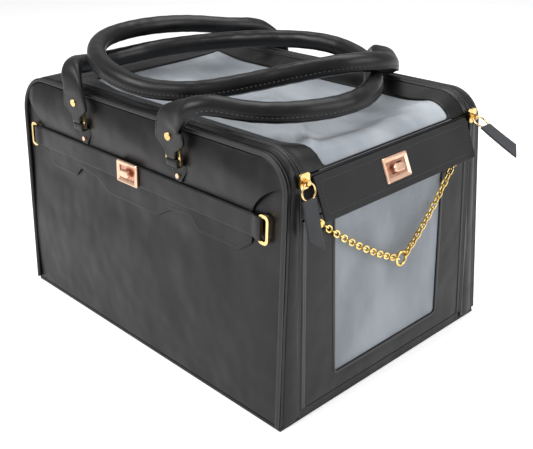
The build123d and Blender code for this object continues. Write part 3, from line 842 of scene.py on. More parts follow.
@dataclass(frozen=True)
class Shell:
    """Fixed leather shell: two long sides, gussets, rear, bottom, header and sill."""

    form: Form
    wall: float = 3.0
    rim: float = 0.7
    hinge_x: float = -150.0
    lid_front_z: float = 238.0
    header_z: float = 200.0
    sill_z: float = 10.0
    side_swell: float = 4.0
    swell_top: float = 150.0
    gusset_swell: float = 1.3
    rear_swell: float = 4.5

    def side_panel(self, side: Side) -> None:
        """Long side: straight foot, top along the end profile, swelling out under the flap.

        x runs as half the length times sin of the share, which crowds the samples into the round
        corners. The swell is a product of two half sines, less a slow ripple, and is zero under the flap.
        """
        form = self.form
        foot = self.wall + 0.2

        def surface(u: Array, v: Array, lift: Array) -> Array:
            """Share u along the side, share v up the slope."""
            x = (form.half_length - 0.3) * np.sin((u - 0.5) * pi)
            top = form.top_at(x, 0.3) / cos(form.lean)
            return form.side(x, foot + (top - foot) * v, lift)

        def swell(u: Array, v: Array) -> Array:
            """Outward swell."""
            x = (u - 0.5) * pi
            z = v * form.height
            across = np.sin(pi * np.clip((z - 2) / self.swell_top, 0, 1)) ** 1.2
            ripple = 0.35 * np.sin(5.1 * x + 0.9) * np.sin(z / 23.0 + 1.3 * x)
            return across * (np.cos(x) ** 0.6 * self.side_swell + ripple)

        shape = Shape().slab(surface, Span.edged(90, 0.006), Span.edged(60, 0.01), self.wall, self.rim, swell)
        name = f"{side.value}_side_leather"
        shape.on(side).piece(name, Finish.LEATHER, "bag", [f"{side.value}_side_panel"])

    def gusset(self, side: Side) -> None:
        """Strip between the near side and zip, over the top and down the front, softly crowned."""
        form = self.form
        start, end = self.wall + 0.3, form.rail_at_top(self.hinge_x) - 0.2

        def surface(u: Array, v: Array, lift: Array) -> Array:
            """Share u along the strip, share v from the zip out to the side."""
            s = start + (end - start) * u
            z = form.rail(s, 0 * s)[1]
            inner = form.zip_half(z) + form.gap
            outer = form.half_width(z) - 0.2 - self.wall / cos(form.lean)
            return form.over(s, -(inner + (outer - inner) * v), lift)

        def swell(u: Array, v: Array) -> Array:
            """Crown of a half sine across the strip, with a slow ripple along it."""
            return np.sin(pi * v) * (self.gusset_swell + 0.3 * np.sin(u * 31.0))

        shape = Shape().slab(surface, Span.edged(150, 0.002), Span.edged(9, 0.05), self.wall, 0.5, swell)
        name = f"{side.value}_gusset_leather"
        shape.on(side).piece(name, Finish.LEATHER, "bag", [f"{side.value}_gusset"])

    def rear(self) -> None:
        """Rear end with the round rear corner, swelling between its edges and sagging a little."""
        form = self.form
        start, end = form.rail_at_top(self.hinge_x) + 0.2, form.rail_end - self.wall - 0.3

        def surface(u: Array, v: Array, lift: Array) -> Array:
            """Share u along the profile from the hinge, share v across the bag."""
            s = start + (end - start) * u
            z = form.rail(s, 0 * s)[1]
            half = form.half_width(z) - 0.2 - self.wall / cos(form.lean)
            return form.over(s, half * (2 * v - 1), lift)

        def swell(u: Array, v: Array) -> Array:
            """Half sines down and across, with a slow ripple, flat next to the hinge."""
            calm = smooth((u - 0.12) * 3.0) * np.sin(pi * np.clip(u, 0, 1)) ** 0.5
            ripple = 0.5 * np.sin(9 * u + 3 * v) * np.sin(2 * pi * v)
            return calm * np.sin(pi * v) ** 0.7 * (self.rear_swell + ripple)

        shape = Shape().slab(
            surface, Span.edged(80, 0.004), Span.edged(60, 0.004), self.wall, self.rim, swell)
        shape.piece("rear_leather", Finish.LEATHER, "bag", ["rear_panel"])

    def crossbar(self, name: str, stands_for: str, low: float, high: float) -> None:
        """Strip across the front between the zips, from one height to another.

        Args:
            name: of the piece.
            stands_for: CAD node.
            low: height of its lower edge.
            high: height of its upper edge.
        """
        form = self.form
        start, end = form.rail_at_front(low), form.rail_at_front(high)

        def surface(u: Array, v: Array, lift: Array) -> Array:
            """Share u across the bag, share v up the strip."""
            s = start + (end - start) * v
            z = form.rail(s, 0 * s)[1]
            return form.over(s, (form.zip_half(z) - form.gap) * (2 * u - 1), lift)

        shape = Shape().slab(surface, Span.edged(60, 0.003), Span.edged(10, 0.06), self.wall, 0.5)
        shape.piece(name, Finish.LEATHER, "bag", [stands_for])

    def build(self) -> None:
        """Every piece of the shell."""
        for side in Side:
            self.side_panel(side)
            self.gusset(side)
        self.rear()
        self.crossbar("front_header_leather", "front_header", self.header_z, self.lid_front_z - self.form.gap)
        self.crossbar("front_sill_leather", "front_sill", self.wall, self.sill_z)
        dress(Finish.LEATHER, "base_panel")


# --------------------------------------------------------------- lid and door


@dataclass(frozen=True)
class Fold:
    """Soft fold line in the lid's mesh, from one (x, y) to another, raised by height."""

    x0: float
    y0: float
    x1: float
    y1: float
    height: float
    width: float


FOLDS = (
    Fold(198.0, -84.0, 92.0, 6.0, 3.0, 7.0),
    Fold(200.0, 84.0, 96.0, -4.0, 2.6, 8.0),
    Fold(150.0, -88.0, 60.0, 34.0, 1.8, 8.0),
    Fold(96.0, 4.0, 20.0, 10.0, 2.2, 11.0),
    Fold(60.0, -86.0, -24.0, 30.0, 1.6, 10.0),
    Fold(-10.0, 88.0, 56.0, -20.0, 1.4, 9.0),
    Fold(-40.0, -80.0, -110.0, 42.0, 1.3, 10.0),
    Fold(196.0, 20.0, 120.0, 2.0, 1.2, 9.0),
)


@dataclass(frozen=True)
class Lid:
    """Top lid: a leather frame that slopes down to a slack mesh."""

    form: Form
    shell: Shell
    wall: float = 3.0
    rear_border: float = 18.0
    border: float = 29.0
    binding: float = 2.0
    corner: float = 4.0
    sag: float = 14.0
    mesh_under: float = 1.3

    def slack(self, s: Array, y: Array) -> Array:
        """How far the lid hangs below its flat place.

        Deepest along the middle, as 1 - |y / half|^3.4, and fading out towards the front lip and
        towards the hinge.
        """
        form = self.form
        front = form.rail_at_front(self.shell.lid_front_z)
        hinge = form.rail_at_top(self.shell.hinge_x)
        ends = smooth((s - front - 4) / 62.0) * (0.15 + 0.85 * smooth((hinge - s) / 70.0))
        ends = ends * smooth((hinge - s) / 12.0)
        across = np.clip(1 - np.abs(y / (form.zip_top - 4.0)) ** 3.4, 0, 1)
        return self.sag * ends * across

    def over(self, s: Array, y: Array, lift: Array) -> Array:
        """Point on the slack lid."""
        return self.form.over(s, y, lift - self.slack(s, y))

    def outlines(self) -> tuple[Array, Array, tuple[float, float], tuple[float, float]]:
        """Window and outer outlines as (s, y), with the window's middle and half sizes."""
        form, shell = self.form, self.shell
        low = form.rail_at_front(shell.lid_front_z + self.binding)
        high = form.rail_at_top(shell.hinge_x + self.rear_border)
        outer_low = form.rail_at_front(shell.lid_front_z) + form.gap
        outer_high = form.rail_at_top(shell.hinge_x) - form.gap
        middle, half = (low + high) / 2, (high - low) / 2
        window = rounded_loop(half, form.zip_top - self.border, self.corner, 22, 7) + [middle, 0]
        outer_half = (outer_high - outer_low) / 2
        outer = rounded_loop(outer_half, form.zip_top - form.gap, 1.5, 22, 7)
        outer = outer + [(outer_high + outer_low) / 2, 0]
        return window, outer, (middle, half), (form.zip_top - self.border, self.corner)

    def frame_leather(self) -> bpy.types.Object:
        """Leather border: straight between the window's outline and the lid's, carried over the bag."""
        window, outer, _, _ = self.outlines()

        def edge_y(s: Array, y: Array, lift: Array) -> Array:
            """Point on the lid, whose outer edge follows the zip as it widens down the front."""
            z = self.form.rail(s, 0 * s)[1]
            stretch = self.form.zip_half(z) / self.form.zip_top
            share = smooth((np.abs(y) - 88.0) / 29.0)
            return self.over(s, y * (1 + (stretch - 1) * share), lift)

        around = Span.even(len(window), True)
        surface = band(edge_y, window, outer)

        def swell(u: Array, v: Array) -> Array:
            """Low crown across the border."""
            return 0.5 * np.sin(pi * v)

        shape = Shape().slab(surface, around, Span.edged(14, 0.04), self.wall, 0.8, swell)
        return shape.piece("lid_leather", Finish.LEATHER, "lid", ["lid_frame"])

    def mesh_sheet(self, rests_on: bpy.types.Object) -> None:
        """Slack mesh in the window: the lid's slack, plus folds.

        Each fold is a ridge: height times exp(-(distance / width)^2) with distance measured to its
        line, fading at both ends. The finer slack is a product of slow sines.

        Args:
            rests_on: the leather border that the mesh is sewn to; not used.
        """
        form = self.form
        _, _, (middle, half), (half_y, _) = self.outlines()
        reach = 5.0
        u = np.linspace(-1, 1, 200)[:, None]
        v = np.linspace(-1, 1, 120)[None]
        s, y = np.broadcast_arrays(middle + (half + reach) * u, (half_y + reach) * v)
        x, _ = form.rail(s, 0 * s)
        ridge = np.zeros_like(s)
        for fold in FOLDS:
            run = np.array([fold.x1 - fold.x0, fold.y1 - fold.y0])
            length = hypot(*run)
            t = ((x - fold.x0) * run[0] + (y - fold.y0) * run[1]) / length**2
            off = ((x - fold.x0) * run[1] - (y - fold.y0) * run[0]) / length
            bend = off - 5.0 * np.sin(t * 3.1 + fold.height)
            fade = smooth(t * 5.0 + 0.3) * smooth((1 - t) * 2.5 + 0.2)
            ridge += fold.height * fade * np.exp(-((bend / fold.width) ** 2))
        ripple = 0.7 * np.sin(x / 19.0 + y / 31.0) * np.sin(y / 23.0 - x / 47.0 + 0.8)
        inside = smooth((half + reach - np.abs(s - middle)) / 14.0)
        inside = inside * smooth((half_y + reach - np.abs(y)) / 16.0)
        lift = -self.mesh_under + (1.7 * ridge + ripple - 2.5) * inside
        points = self.over(s, y, lift)
        size = (2 * (half + reach) * MM, 2 * (half_y + reach) * MM)
        cut = np.stack(np.broadcast_arrays((u + 1) / 2, (v + 1) / 2), -1)
        shape = Shape().grid(points, cut=cut)
        made = shape.piece("lid_knit", Finish.MESH, "lid", ["lid_mesh"], sharp=180.0, cut_size=size)
        size[1]
        size[0]

    def build(self) -> None:
        """Border and mesh."""
        border = self.frame_leather()
        self.mesh_sheet(border)


@dataclass(frozen=True)
class Door:
    """Front door: a leather frame with a mesh window."""

    form: Form
    shell: Shell
    wall: float = 3.0
    bottom_border: float = 20.0
    top_border: float = 8.0
    border: float = 42.0
    corner: float = 4.0

    def outlines(self) -> tuple[Array, Array, float, float, float]:
        """Window and outer outlines as (s, y), the window's middle height and its half sizes."""
        form, shell = self.form, self.shell
        low, high = shell.sill_z + self.bottom_border, shell.header_z - self.top_border
        half_y = float(form.zip_half(np.array(high))) - self.border
        window = rounded_loop((high - low) / 2, half_y, self.corner, 12, 7) + [(low + high) / 2, 0]
        outer_low, outer_high = shell.sill_z + form.gap, shell.header_z - form.gap
        outer = rounded_loop((outer_high - outer_low) / 2, form.zip_top, 1.5, 12, 7)
        outer = outer + [(outer_high + outer_low) / 2, 0]
        stretch = (form.zip_half(outer[:, 0]) - form.gap) / form.zip_top
        outer = np.stack([outer[:, 0], outer[:, 1] * stretch], -1)
        return window, outer, (low + high) / 2, (high - low) / 2, half_y

    def build(self) -> None:
        """Frame, binding and mesh."""
        form = self.form
        window, outer, middle, half_z, half_y = self.outlines()
        around = Span.even(len(window), True)

        def swell(u: Array, v: Array) -> Array:
            """Low crown across the border."""
            return 0.5 * np.sin(pi * v)

        across = Span.edged(12, 0.03)
        shape = Shape().slab(band(form.over, window, outer), around, across, self.wall, 0.7, swell)
        border = shape.piece("door_leather", Finish.LEATHER, "door", ["door_frame"])
        out = window - [middle, 0]
        edge = out / np.linalg.norm(out, axis=1, keepdims=True)
        rolled = band(form.over, window, window + 3.4 * edge)
        roll = Shape().slab(rolled, around, Span.edged(4, 0.3), 1.2, 0.5, 0.7)
        roll.piece("door_window_binding", Finish.EDGE, "door")
        reach = 4.0
        u = np.linspace(-1, 1, 100)[:, None]
        v = np.linspace(-1, 1, 100)[None]
        s, y = np.broadcast_arrays(middle + (half_z + reach) * u, (half_y + reach) * v)
        calm = (1 - u**2) * (1 - v**2)
        lift = -1.4 + calm * (0.9 * np.sin(s / 29.0 + y / 37.0) + 0.5 * np.sin(y / 17.0 - s / 41.0) - 1.0)
        size = (2 * (half_z + reach) * MM, 2 * (half_y + reach) * MM)
        cut = np.stack(np.broadcast_arrays((u + 1) / 2, (v + 1) / 2), -1)
        made = Shape().grid(form.over(s, y, lift), cut=cut).piece(
            "door_knit", Finish.SHADED_DOOR_MESH, "door", ["door_mesh"], sharp=180.0, cut_size=size)
        size[1]
        size[0]
        dress(Finish.CHAIN, "chain_links", "chain_ring", "chain_staples")


# ------------------------------------------------------------ zips and piping


@dataclass(frozen=True)
class Zips:
    """Zip tapes with coils, each side of both zip lines."""

    form: Form
    shell: Shell
    tape: float = 6.0
    coil: float = 2.2
    pitch: float = 2.4

    def strip(
        self, shape: Shape, start: float, end: float, side: Side, outer: bool, slack: Surface | None
    ) -> None:
        """One tape with its coil: a section carried along the zip line.

        The coil's height goes up and down as the absolute value of a sine, once each tooth.

        Args:
            shape: what it is added to.
            start: distance along the end profile.
            end: distance along the end profile.
            side: near or far.
            outer: on the gusset's side of the line.
            slack: how a point is placed, or None for the plain form.
        """
        form = self.form
        place = slack or form.over
        steps = int((end - start) / (self.pitch / 4))
        s = np.linspace(start, end, steps)[:, None]
        z = form.rail(s, 0 * s)[1]
        across = np.array([0.0, 0.0, 0.3, 1.1, 1.9, 2.2, 2.3, 4.0, 5.8, 6.0, 6.0])[None]
        height = np.array([-0.6, 0.6, 1.5, 1.8, 1.5, 0.9, 0.8, 0.8, 0.8, 0.6, -0.6])[None]
        coil = ((across > 0) & (across < self.coil)) * 0.55
        tooth = np.abs(np.sin(pi * (s + (0.0 if outer else self.pitch / 2)) / self.pitch))
        lift = height - coil * (1 - tooth) ** 1.5
        reach = form.gap * 0.4 + across
        y = form.zip_half(z) + (reach if outer else -reach)
        points = place(s + 0 * across, -y if side is Side.NEAR else y, lift)
        loop = points if outer is (side is Side.NEAR) else points[:, ::-1]
        shape.grid(loop, False, True)
        for end_row in (0, -1):
            shape.grid(np.stack([loop[end_row, :5], loop[end_row, :-6:-1]]))

    def build(self, lid: Lid) -> None:
        """Gusset tapes on the bag, lid tapes on the lid and door tapes on the door.

        Args:
            lid: whose slack the lid's tapes follow.
        """
        form, shell = self.form, self.shell
        hinge = form.rail_at_top(shell.hinge_x)
        lid_start = form.rail_at_front(shell.lid_front_z) + form.gap
        for side in Side:
            outer = Shape()
            self.strip(outer, shell.wall + 0.5, hinge - 0.5, side, True, None)
            outer.piece(f"{side.value}_zip_tape", Finish.ZIP, "bag", [f"{side.value}_zip"], sharp=60.0)
        lid_strips, door_strips = Shape(), Shape()
        for side in Side:
            self.strip(lid_strips, lid_start, hinge - form.gap, side, False, lid.over)
            self.strip(door_strips, shell.sill_z + form.gap, shell.header_z - form.gap, side, False, None)
        lid_strips.piece("lid_zip_tape", Finish.ZIP, "lid", ["lid_zip"], sharp=60.0)
        door_strips.piece("door_zip_tape", Finish.ZIP, "door", ["door_zip"], sharp=60.0)


@dataclass(frozen=True)
class Piping:
    """Welt along each long side's edge."""

    form: Form
    radius: float = 2.2

    def build(self) -> None:
        """Round cord in leather carried along the end profile, with faint unevenness.

        Its radius changes by 3 in 100 as a slow sine along the welt.
        """
        form = self.form
        s = np.linspace(5.2, form.rail_end - 5.2, 420)
        x, z = form.rail(s, np.full(s.shape, -self.radius))
        y = -form.half_width(z) - self.radius / cos(form.lean)
        path = np.stack([x, y, z], -1)
        x_out, z_out = form.rail(s, np.full(s.shape, 1.0 - self.radius))
        out = np.stack([x_out - x, 0 * s, z_out - z], -1)
        wide = np.broadcast_to(np.array([0.0, 1.0, 0.0]), path.shape)
        turn = np.linspace(0, 2 * pi, 14, endpoint=False)
        radius = self.radius * (0.985 + 0.015 * np.sin(s / 7.3) * np.sin(s / 3.1))
        section = radius[:, None, None] * np.stack([np.cos(turn), np.sin(turn)], -1)
        for side in Side:
            shape = Shape().tube(path, wide, out, section)
            name = f"{side.value}_welt"
            shape.on(side).piece(name, Finish.PIPING, "bag", [f"{side.value}_piping"])


# ------------------------------------------------------------------- side trim


def lofted(rings: Sequence[tuple[float, float, float, float]], place: Callable[[Array, Array, Array], Array],
           shape: Shape, bend: int = 5) -> Shape:
    """Add rounded rectangles stacked one on another, closed at both ends.

    Args:
        rings: half width, half height, corner radius and level of each.
        place: point at (a, b, level).
        shape: what it is added to.
        bend: samples on each corner.

    Returns:
        The shape.
    """
    loops = []
    for half_a, half_b, radius, level in rings:
        ab = rounded_loop(half_a, half_b, radius, 2, bend)
        loops.append(place(ab[:, 0], ab[:, 1], np.full(len(ab), level)))
    points = np.stack(loops)
    middle = np.repeat(points.mean(1, keepdims=True), points.shape[1], 1)
    points = np.concatenate([middle[:1], points, middle[-1:]])
    return shape.grid(points, False, True)


def framed(rings: Sequence[tuple[float, float, float, float]], place: Callable[[Array, Array, Array], Array],
           shape: Shape, bend: int = 5) -> Shape:
    """Add a frame with a hole: rounded rectangles joined in order and back to the first."""
    loops = []
    for half_a, half_b, radius, level in rings:
        ab = rounded_loop(half_a, half_b, radius, 2, bend)
        loops.append(place(ab[:, 0], ab[:, 1], np.full(len(ab), level)))
    return shape.grid(np.stack(loops), True, True)


@dataclass(frozen=True)
class TurnLock:
    """Turn lock: a bevelled frame plate round a sunk floor, and a turn bar with rounded ends."""

    half_width: float = 17.0
    half_height: float = 11.5
    corner: float = 1.5
    rim: float = 4.5
    thickness: float = 2.0
    floor_depth: float = 1.5
    bar_half_length: float = 7.5
    bar_half_height: float = 3.75
    bar_thickness: float = 3.0
    neck_radius: float = 2.4

    def plate(self, place: Callable[[Array, Array, Array], Array], with_floor: bool) -> tuple[Shape, Shape]:
        """Bevelled frame, and the floor in it.

        Args:
            place: point at (across, up, off the seat).
            with_floor: add the floor.

        Returns:
            The frame and the floor.
        """
        a, b, t = self.half_width, self.half_height, self.thickness
        rings = [
            (a, b, self.corner, 0.05), (a, b, self.corner, t * 0.45), (a - 0.8, b - 0.8, 1.2, t * 0.95),
            (a - 1.3, b - 1.3, 1.0, t), (a - 1.7, b - 1.7, 0.9, t * 0.98),
            (a - self.rim + 0.7, b - self.rim + 0.7, 0.6, t * 0.62),
            (a - self.rim + 0.1, b - self.rim + 0.1, 0.5, t * 0.5),
            (a - self.rim, b - self.rim, 0.4, t * 0.3), (a - self.rim, b - self.rim, 0.4, 0.05),
        ]
        frame_shape = framed(rings, place, Shape())
        floor_shape = Shape()
        if with_floor:
            low = -self.floor_depth
            lofted([(a - 1, b - 1, 0.8, low), (a - 1, b - 1, 0.8, 0.0)], place, floor_shape)
            inner_a, inner_b = a - self.rim, b - self.rim
            framed([(inner_a, inner_b, 0.4, 0.0), (inner_a, inner_b, 0.4, 0.5),
                    (inner_a - 0.7, inner_b - 0.7, 0.3, 0.5), (inner_a - 0.8, inner_b - 0.8, 0.3, 0.0)],
                   place, floor_shape)
        return frame_shape, floor_shape

    def bar(self, place: Callable[[Array, Array, Array], Array], neck_low: float, low: float) -> Shape:
        """Turn bar on its neck: one plain bar with round ends and a domed top.

        Each ring is a rounded rectangle, and the rings draw in towards the top.

        Args:
            place: point at (across, up, off the seat).
            neck_low: level of the neck's foot.
            low: level of the bar's under face.

        Returns:
            The bar's shape.
        """
        shape = Shape()
        a, b = self.bar_half_length, self.bar_half_height
        high = low + self.bar_thickness
        rings = [(a - 0.1, b - 0.05, 3.6, low), (a, b, 3.7, low + 0.4), (a, b, 3.7, high - 1.2),
                 (a - 0.3, b - 0.3, 3.4, high - 0.5), (a - 1.0, b - 1.0, 2.7, high - 0.1),
                 (a - 2.3, b - 2.25, 1.4, high)]
        lofted(rings, place, shape)
        neck = self.neck_radius
        lofted([(neck, neck, 2.3, neck_low), (neck, neck, 2.3, low + 0.2)], place, shape)
        return shape


@dataclass(frozen=True)
class SideTrim:
    """Flap, belt, turn lock, loops and handle keepers of one long side, drawn for the near side."""

    form: Form
    lock: TurnLock
    middle_x: float = -6.0
    station: float = 80.0
    flap_thickness: float = 2.0
    tab_z: float = 158.0
    notch_z: float = 173.0
    wing_z: float = 161.0
    wing_end: float = 174.0
    cutout_z: float = 205.0
    cutout_rise: float = 27.0
    edge_inset: float = 4.8
    puff: float = 4.6
    belt_z: float = 192.0
    belt_half: float = 11.0
    belt_reach: float = 184.0
    belt_thickness: float = 2.5
    wrap_over: float = 4.6
    wrap_rise: float = 2.3
    ring_z: float = 224.0
    keeper_depth: float = 8.0

    @property
    def ring_y(self) -> float:
        """Place of the handle rings' lower bars across the bag."""
        form = self.form
        half = float(form.half_width(np.array(self.ring_z)))
        return -half - self.flap_thickness / cos(form.lean) - 2.0 - self.keeper_depth / 2 - form.gap

    def lower_edge(self) -> Array:
        """The flap's lower edge with its cut-outs, from the rear end to the front end, (x, along)."""
        edge, wing = self.form.half_length - self.edge_inset, self.wing_end
        turn = np.linspace(0, 1, 14)
        bulge = (2.2 * turn * (1 - turn))
        arc_x = wing + (edge - wing) * turn
        arc_z = self.cutout_z + self.cutout_rise * (turn + bulge * 0.36)
        half = [(42.0, self.tab_z), (self.station - 17.0, self.notch_z - 3.0),
                (self.station + 14.0, self.notch_z), (self.station + 25.0, self.wing_z)]
        right = [(self.middle_x + x, z) for x, z in half] + [(wing - 18.0, self.wing_z), (wing, self.notch_z)]
        left = [(self.middle_x - x, z) for x, z in half] + [(18.0 - wing, self.wing_z), (-wing, self.notch_z)]
        right_arc = list(zip(arc_x, arc_z))
        left_arc = list(zip(-arc_x, arc_z))
        corners = np.array(left_arc[::-1] + left[::-1] + right + right_arc)
        run = np.concatenate([[0.0], np.cumsum(np.linalg.norm(np.diff(corners, axis=0), axis=1))])
        at = np.linspace(0, run[-1], 260)
        line = np.stack([np.interp(at, run, corners[:, i]) for i in range(2)], -1)
        kernel = np.array([1.0, 2.0, 3.0, 2.0, 1.0]) / 9.0
        padded = np.concatenate([line[:1]] * 2 + [line] + [line[-1:]] * 2)
        return np.stack([np.convolve(padded[:, i], kernel, "valid") for i in range(2)], -1)

    def flap(self, side: Side) -> None:
        """Flap: ruled between its lower edge and the top seam, with a stitched border.

        The upper end of each rule moves with the lower edge's arc length, so that rules never cross.
        """
        form = self.form
        lower = self.lower_edge()
        share = np.linspace(-1, 1, len(lower))
        edge = form.half_length - self.edge_inset
        upper_x = 0.8 * lower[:, 0] + 0.2 * edge * share
        upper = np.stack([upper_x, form.top_at(upper_x, self.edge_inset + 0.3) / cos(form.lean)], -1)

        def surface(u: Array, v: Array, lift: Array) -> Array:
            """Share u along the lower edge, share v up to the seam."""
            at = u * (len(lower) - 1)
            row = np.arange(len(lower))
            pick = [np.interp(at, row, line[:, i]) for line in (lower, upper) for i in range(2)]
            x = pick[0] + (pick[2] - pick[0]) * v
            along = pick[1] + (pick[3] - pick[1]) * v
            return form.side(x, along, lift)

        def lift(u: Array, v: Array) -> Array:
            """Top face: padded above the belt between the handle stations, and gently rippled."""
            at = surface(u, v, 0 * u)
            x, z = at[..., 0], at[..., 2]
            above = np.sin(pi * np.clip((z - self.belt_z - self.belt_half - 2) / 48.0, 0, 1)) ** 0.8
            apart = np.ones_like(x)
            for end in (-1, 1):
                apart *= 1 - np.exp(-(((x - self.middle_x - end * self.station) / 17.0) ** 2))
            inside = smooth((form.half_length - 6 - np.abs(x)) / 22.0)
            ripple = 0.5 * np.sin(x / 17.0 + z / 11.0) * np.sin(x / 41.0 - z / 19.0 + 0.7)
            return self.flap_thickness + above * apart * inside * (self.puff + ripple)

        shape = Shape().slab(surface, Span.edged(260, 0.003), Span.edged(30, 0.02), 1.9, 0.75, lift)
        shape.on(side).piece(f"{side.value}_flap_leather", Finish.LEATHER, "bag", [f"{side.value}_side_flap"])
        middle = 0.5 * (lower[1:] + lower[:-1])
        ahead = unit(lower[1:] - lower[:-1])
        row = middle + np.stack([-ahead[:, 1], ahead[:, 0]], -1) * 3.2
        path = form.side(row[:, 0], row[:, 1], np.full(len(row), self.flap_thickness + 0.1))
        thread = StitchRow().sew(Shape(), path[6:-6], form.side_out())
        thread.on(side).piece(f"{side.value}_flap_stitches", Finish.THREAD, "bag")

    def belt(self, side: Side) -> None:
        """Belt over the flap: a flat strap with rounded edges and a row of stitches along each."""
        form = self.form
        base = self.flap_thickness + self.belt_thickness

        def surface(u: Array, v: Array, lift: Array) -> Array:
            """Share u along the belt, share v up it."""
            x = (self.belt_reach + self.wrap_over) * (2 * u - 1)
            return form.side(x, self.belt_z + self.belt_half * (2 * v - 1), lift)

        def lift(u: Array, v: Array) -> Array:
            """Top face with a low crown, rising where each end wraps over its loop's inner bar."""
            end = (np.abs(2 * u - 1) * (self.belt_reach + self.wrap_over) - self.belt_reach + 9.0) / 9.0
            return base - 0.25 + 0.3 * np.sin(pi * v) ** 0.5 + self.wrap_rise * smooth(end)

        shape = Shape().slab(surface, Span.edged(150, 0.004), Span.edged(9, 0.06), 2.2, 0.9, lift)
        shape.on(side).piece(f"{side.value}_belt_leather", Finish.HANDLE, "bag", [f"{side.value}_belt"])
        thread = Shape()
        for up in (-1, 1):
            x = np.linspace(-self.belt_reach + 4, self.belt_reach - 4, 90)
            along = np.full(x.shape, self.belt_z + up * (self.belt_half - 2.4))
            StitchRow().sew(thread, form.side(x, along, np.full(x.shape, base)), form.side_out())
        thread.on(side).piece(f"{side.value}_belt_stitches", Finish.THREAD, "bag")

    def turn_lock(self, side: Side) -> None:
        """Lock on the middle of the belt."""
        form = self.form
        seat = self.flap_thickness + self.belt_thickness + self.lock.floor_depth

        def place(a: Array, b: Array, level: Array) -> Array:
            """Point on the lock's seat."""
            return form.side(self.middle_x + a, self.belt_z + b, seat + level)

        plate, floor = self.lock.plate(place, True)
        name = side.value
        plate.on(side).piece(f"{name}_lock_frame", Finish.ROSE, "bag", [f"{name}_lock_plate"], sharp=22.0)
        floor.on(side).piece(f"{name}_lock_floor", Finish.COPPER, "bag", sharp=22.0)
        bar = self.lock.bar(place, 0.2, self.lock.thickness + 0.4)
        bar.on(side).piece(
            f"{name}_lock_bar", Finish.ROSE, f"{name}_toggle", [f"{name}_lock_toggle"], sharp=22.0)

    def keepers(self, side: Side) -> None:
        """Leather roll round each handle ring's lower bar, and its strap down to the belt."""
        form = self.form
        shape = Shape()
        thread = Shape()
        for end in (-1, 1):
            x = self.middle_x + end * self.station
            turn = np.linspace(0, 2 * pi, 28, endpoint=False)
            power = 2 / 3.2
            wide = np.sign(np.cos(turn)) * np.abs(np.cos(turn)) ** power * (self.keeper_depth / 2)
            tall = np.sign(np.sin(turn)) * np.abs(np.sin(turn)) ** power * 4.5
            level = np.array([0.86, 0.96, 1.0, 1.0, 1.0, 1.0, 0.96, 0.86])
            along = x + np.array([-8.0, -7.7, -7.0, -3.0, 3.0, 7.0, 7.7, 8.0])
            path = np.stack([along, np.full(8, self.ring_y), np.full(8, self.ring_z)], -1)
            section = level[:, None, None] * np.stack([wide, tall], -1)[None]
            across = np.broadcast_to(np.array([0.0, -1.0, 0.0]), path.shape)
            up = np.broadcast_to(np.array([0.0, 0.0, 1.0]), path.shape)
            shape.tube(path, across, up, section)
            tip = self.belt_z + self.belt_half + 1.0
            top = self.ring_z - 1.0
            heights = np.array([tip, tip + 3, top - 9, top - 5, top])
            halves = np.array([4.5, 5.4, 10.6, 12.2, 12.5])

            def strap(u: Array, v: Array, lift: Array, x: float = x, heights: Array = heights,
                      halves: Array = halves) -> Array:
                """Share u up the strap, share v across it."""
                along = heights[0] + (heights[-1] - heights[0]) * u
                half = np.interp(along, heights, halves)
                return form.side(x + half * (2 * v - 1), along, lift)

            base = self.flap_thickness + 2.0
            shape.slab(strap, Span.edged(14, 0.05), Span.edged(8, 0.08), 1.8, 0.7, base)
            for edge in (0.14, 0.86):
                share = np.linspace(0.12, 0.72, 20)
                row = strap(share, np.full(20, edge), np.full(20, base + 0.05))
                StitchRow(3.0, 2.2, 0.3).sew(thread, row, form.side_out())
        name = side.value
        shape.on(side).piece(f"{name}_keeper_leather", Finish.HANDLE, "bag", [f"{name}_keepers"])
        thread.on(side).piece(f"{name}_keeper_stitches", Finish.THREAD, "bag")
        dress(Finish.ROSE, f"{name}_keeper_rivets")

    def build(self) -> None:
        """Trim of both sides."""
        for side in Side:
            self.flap(side)
            self.belt(side)
            self.turn_lock(side)
            self.keepers(side)
            dress(Finish.GOLD, f"{side.value}_belt_loops", f"{side.value}_handle_rings")


# ----------------------------------------------------------------- front flap


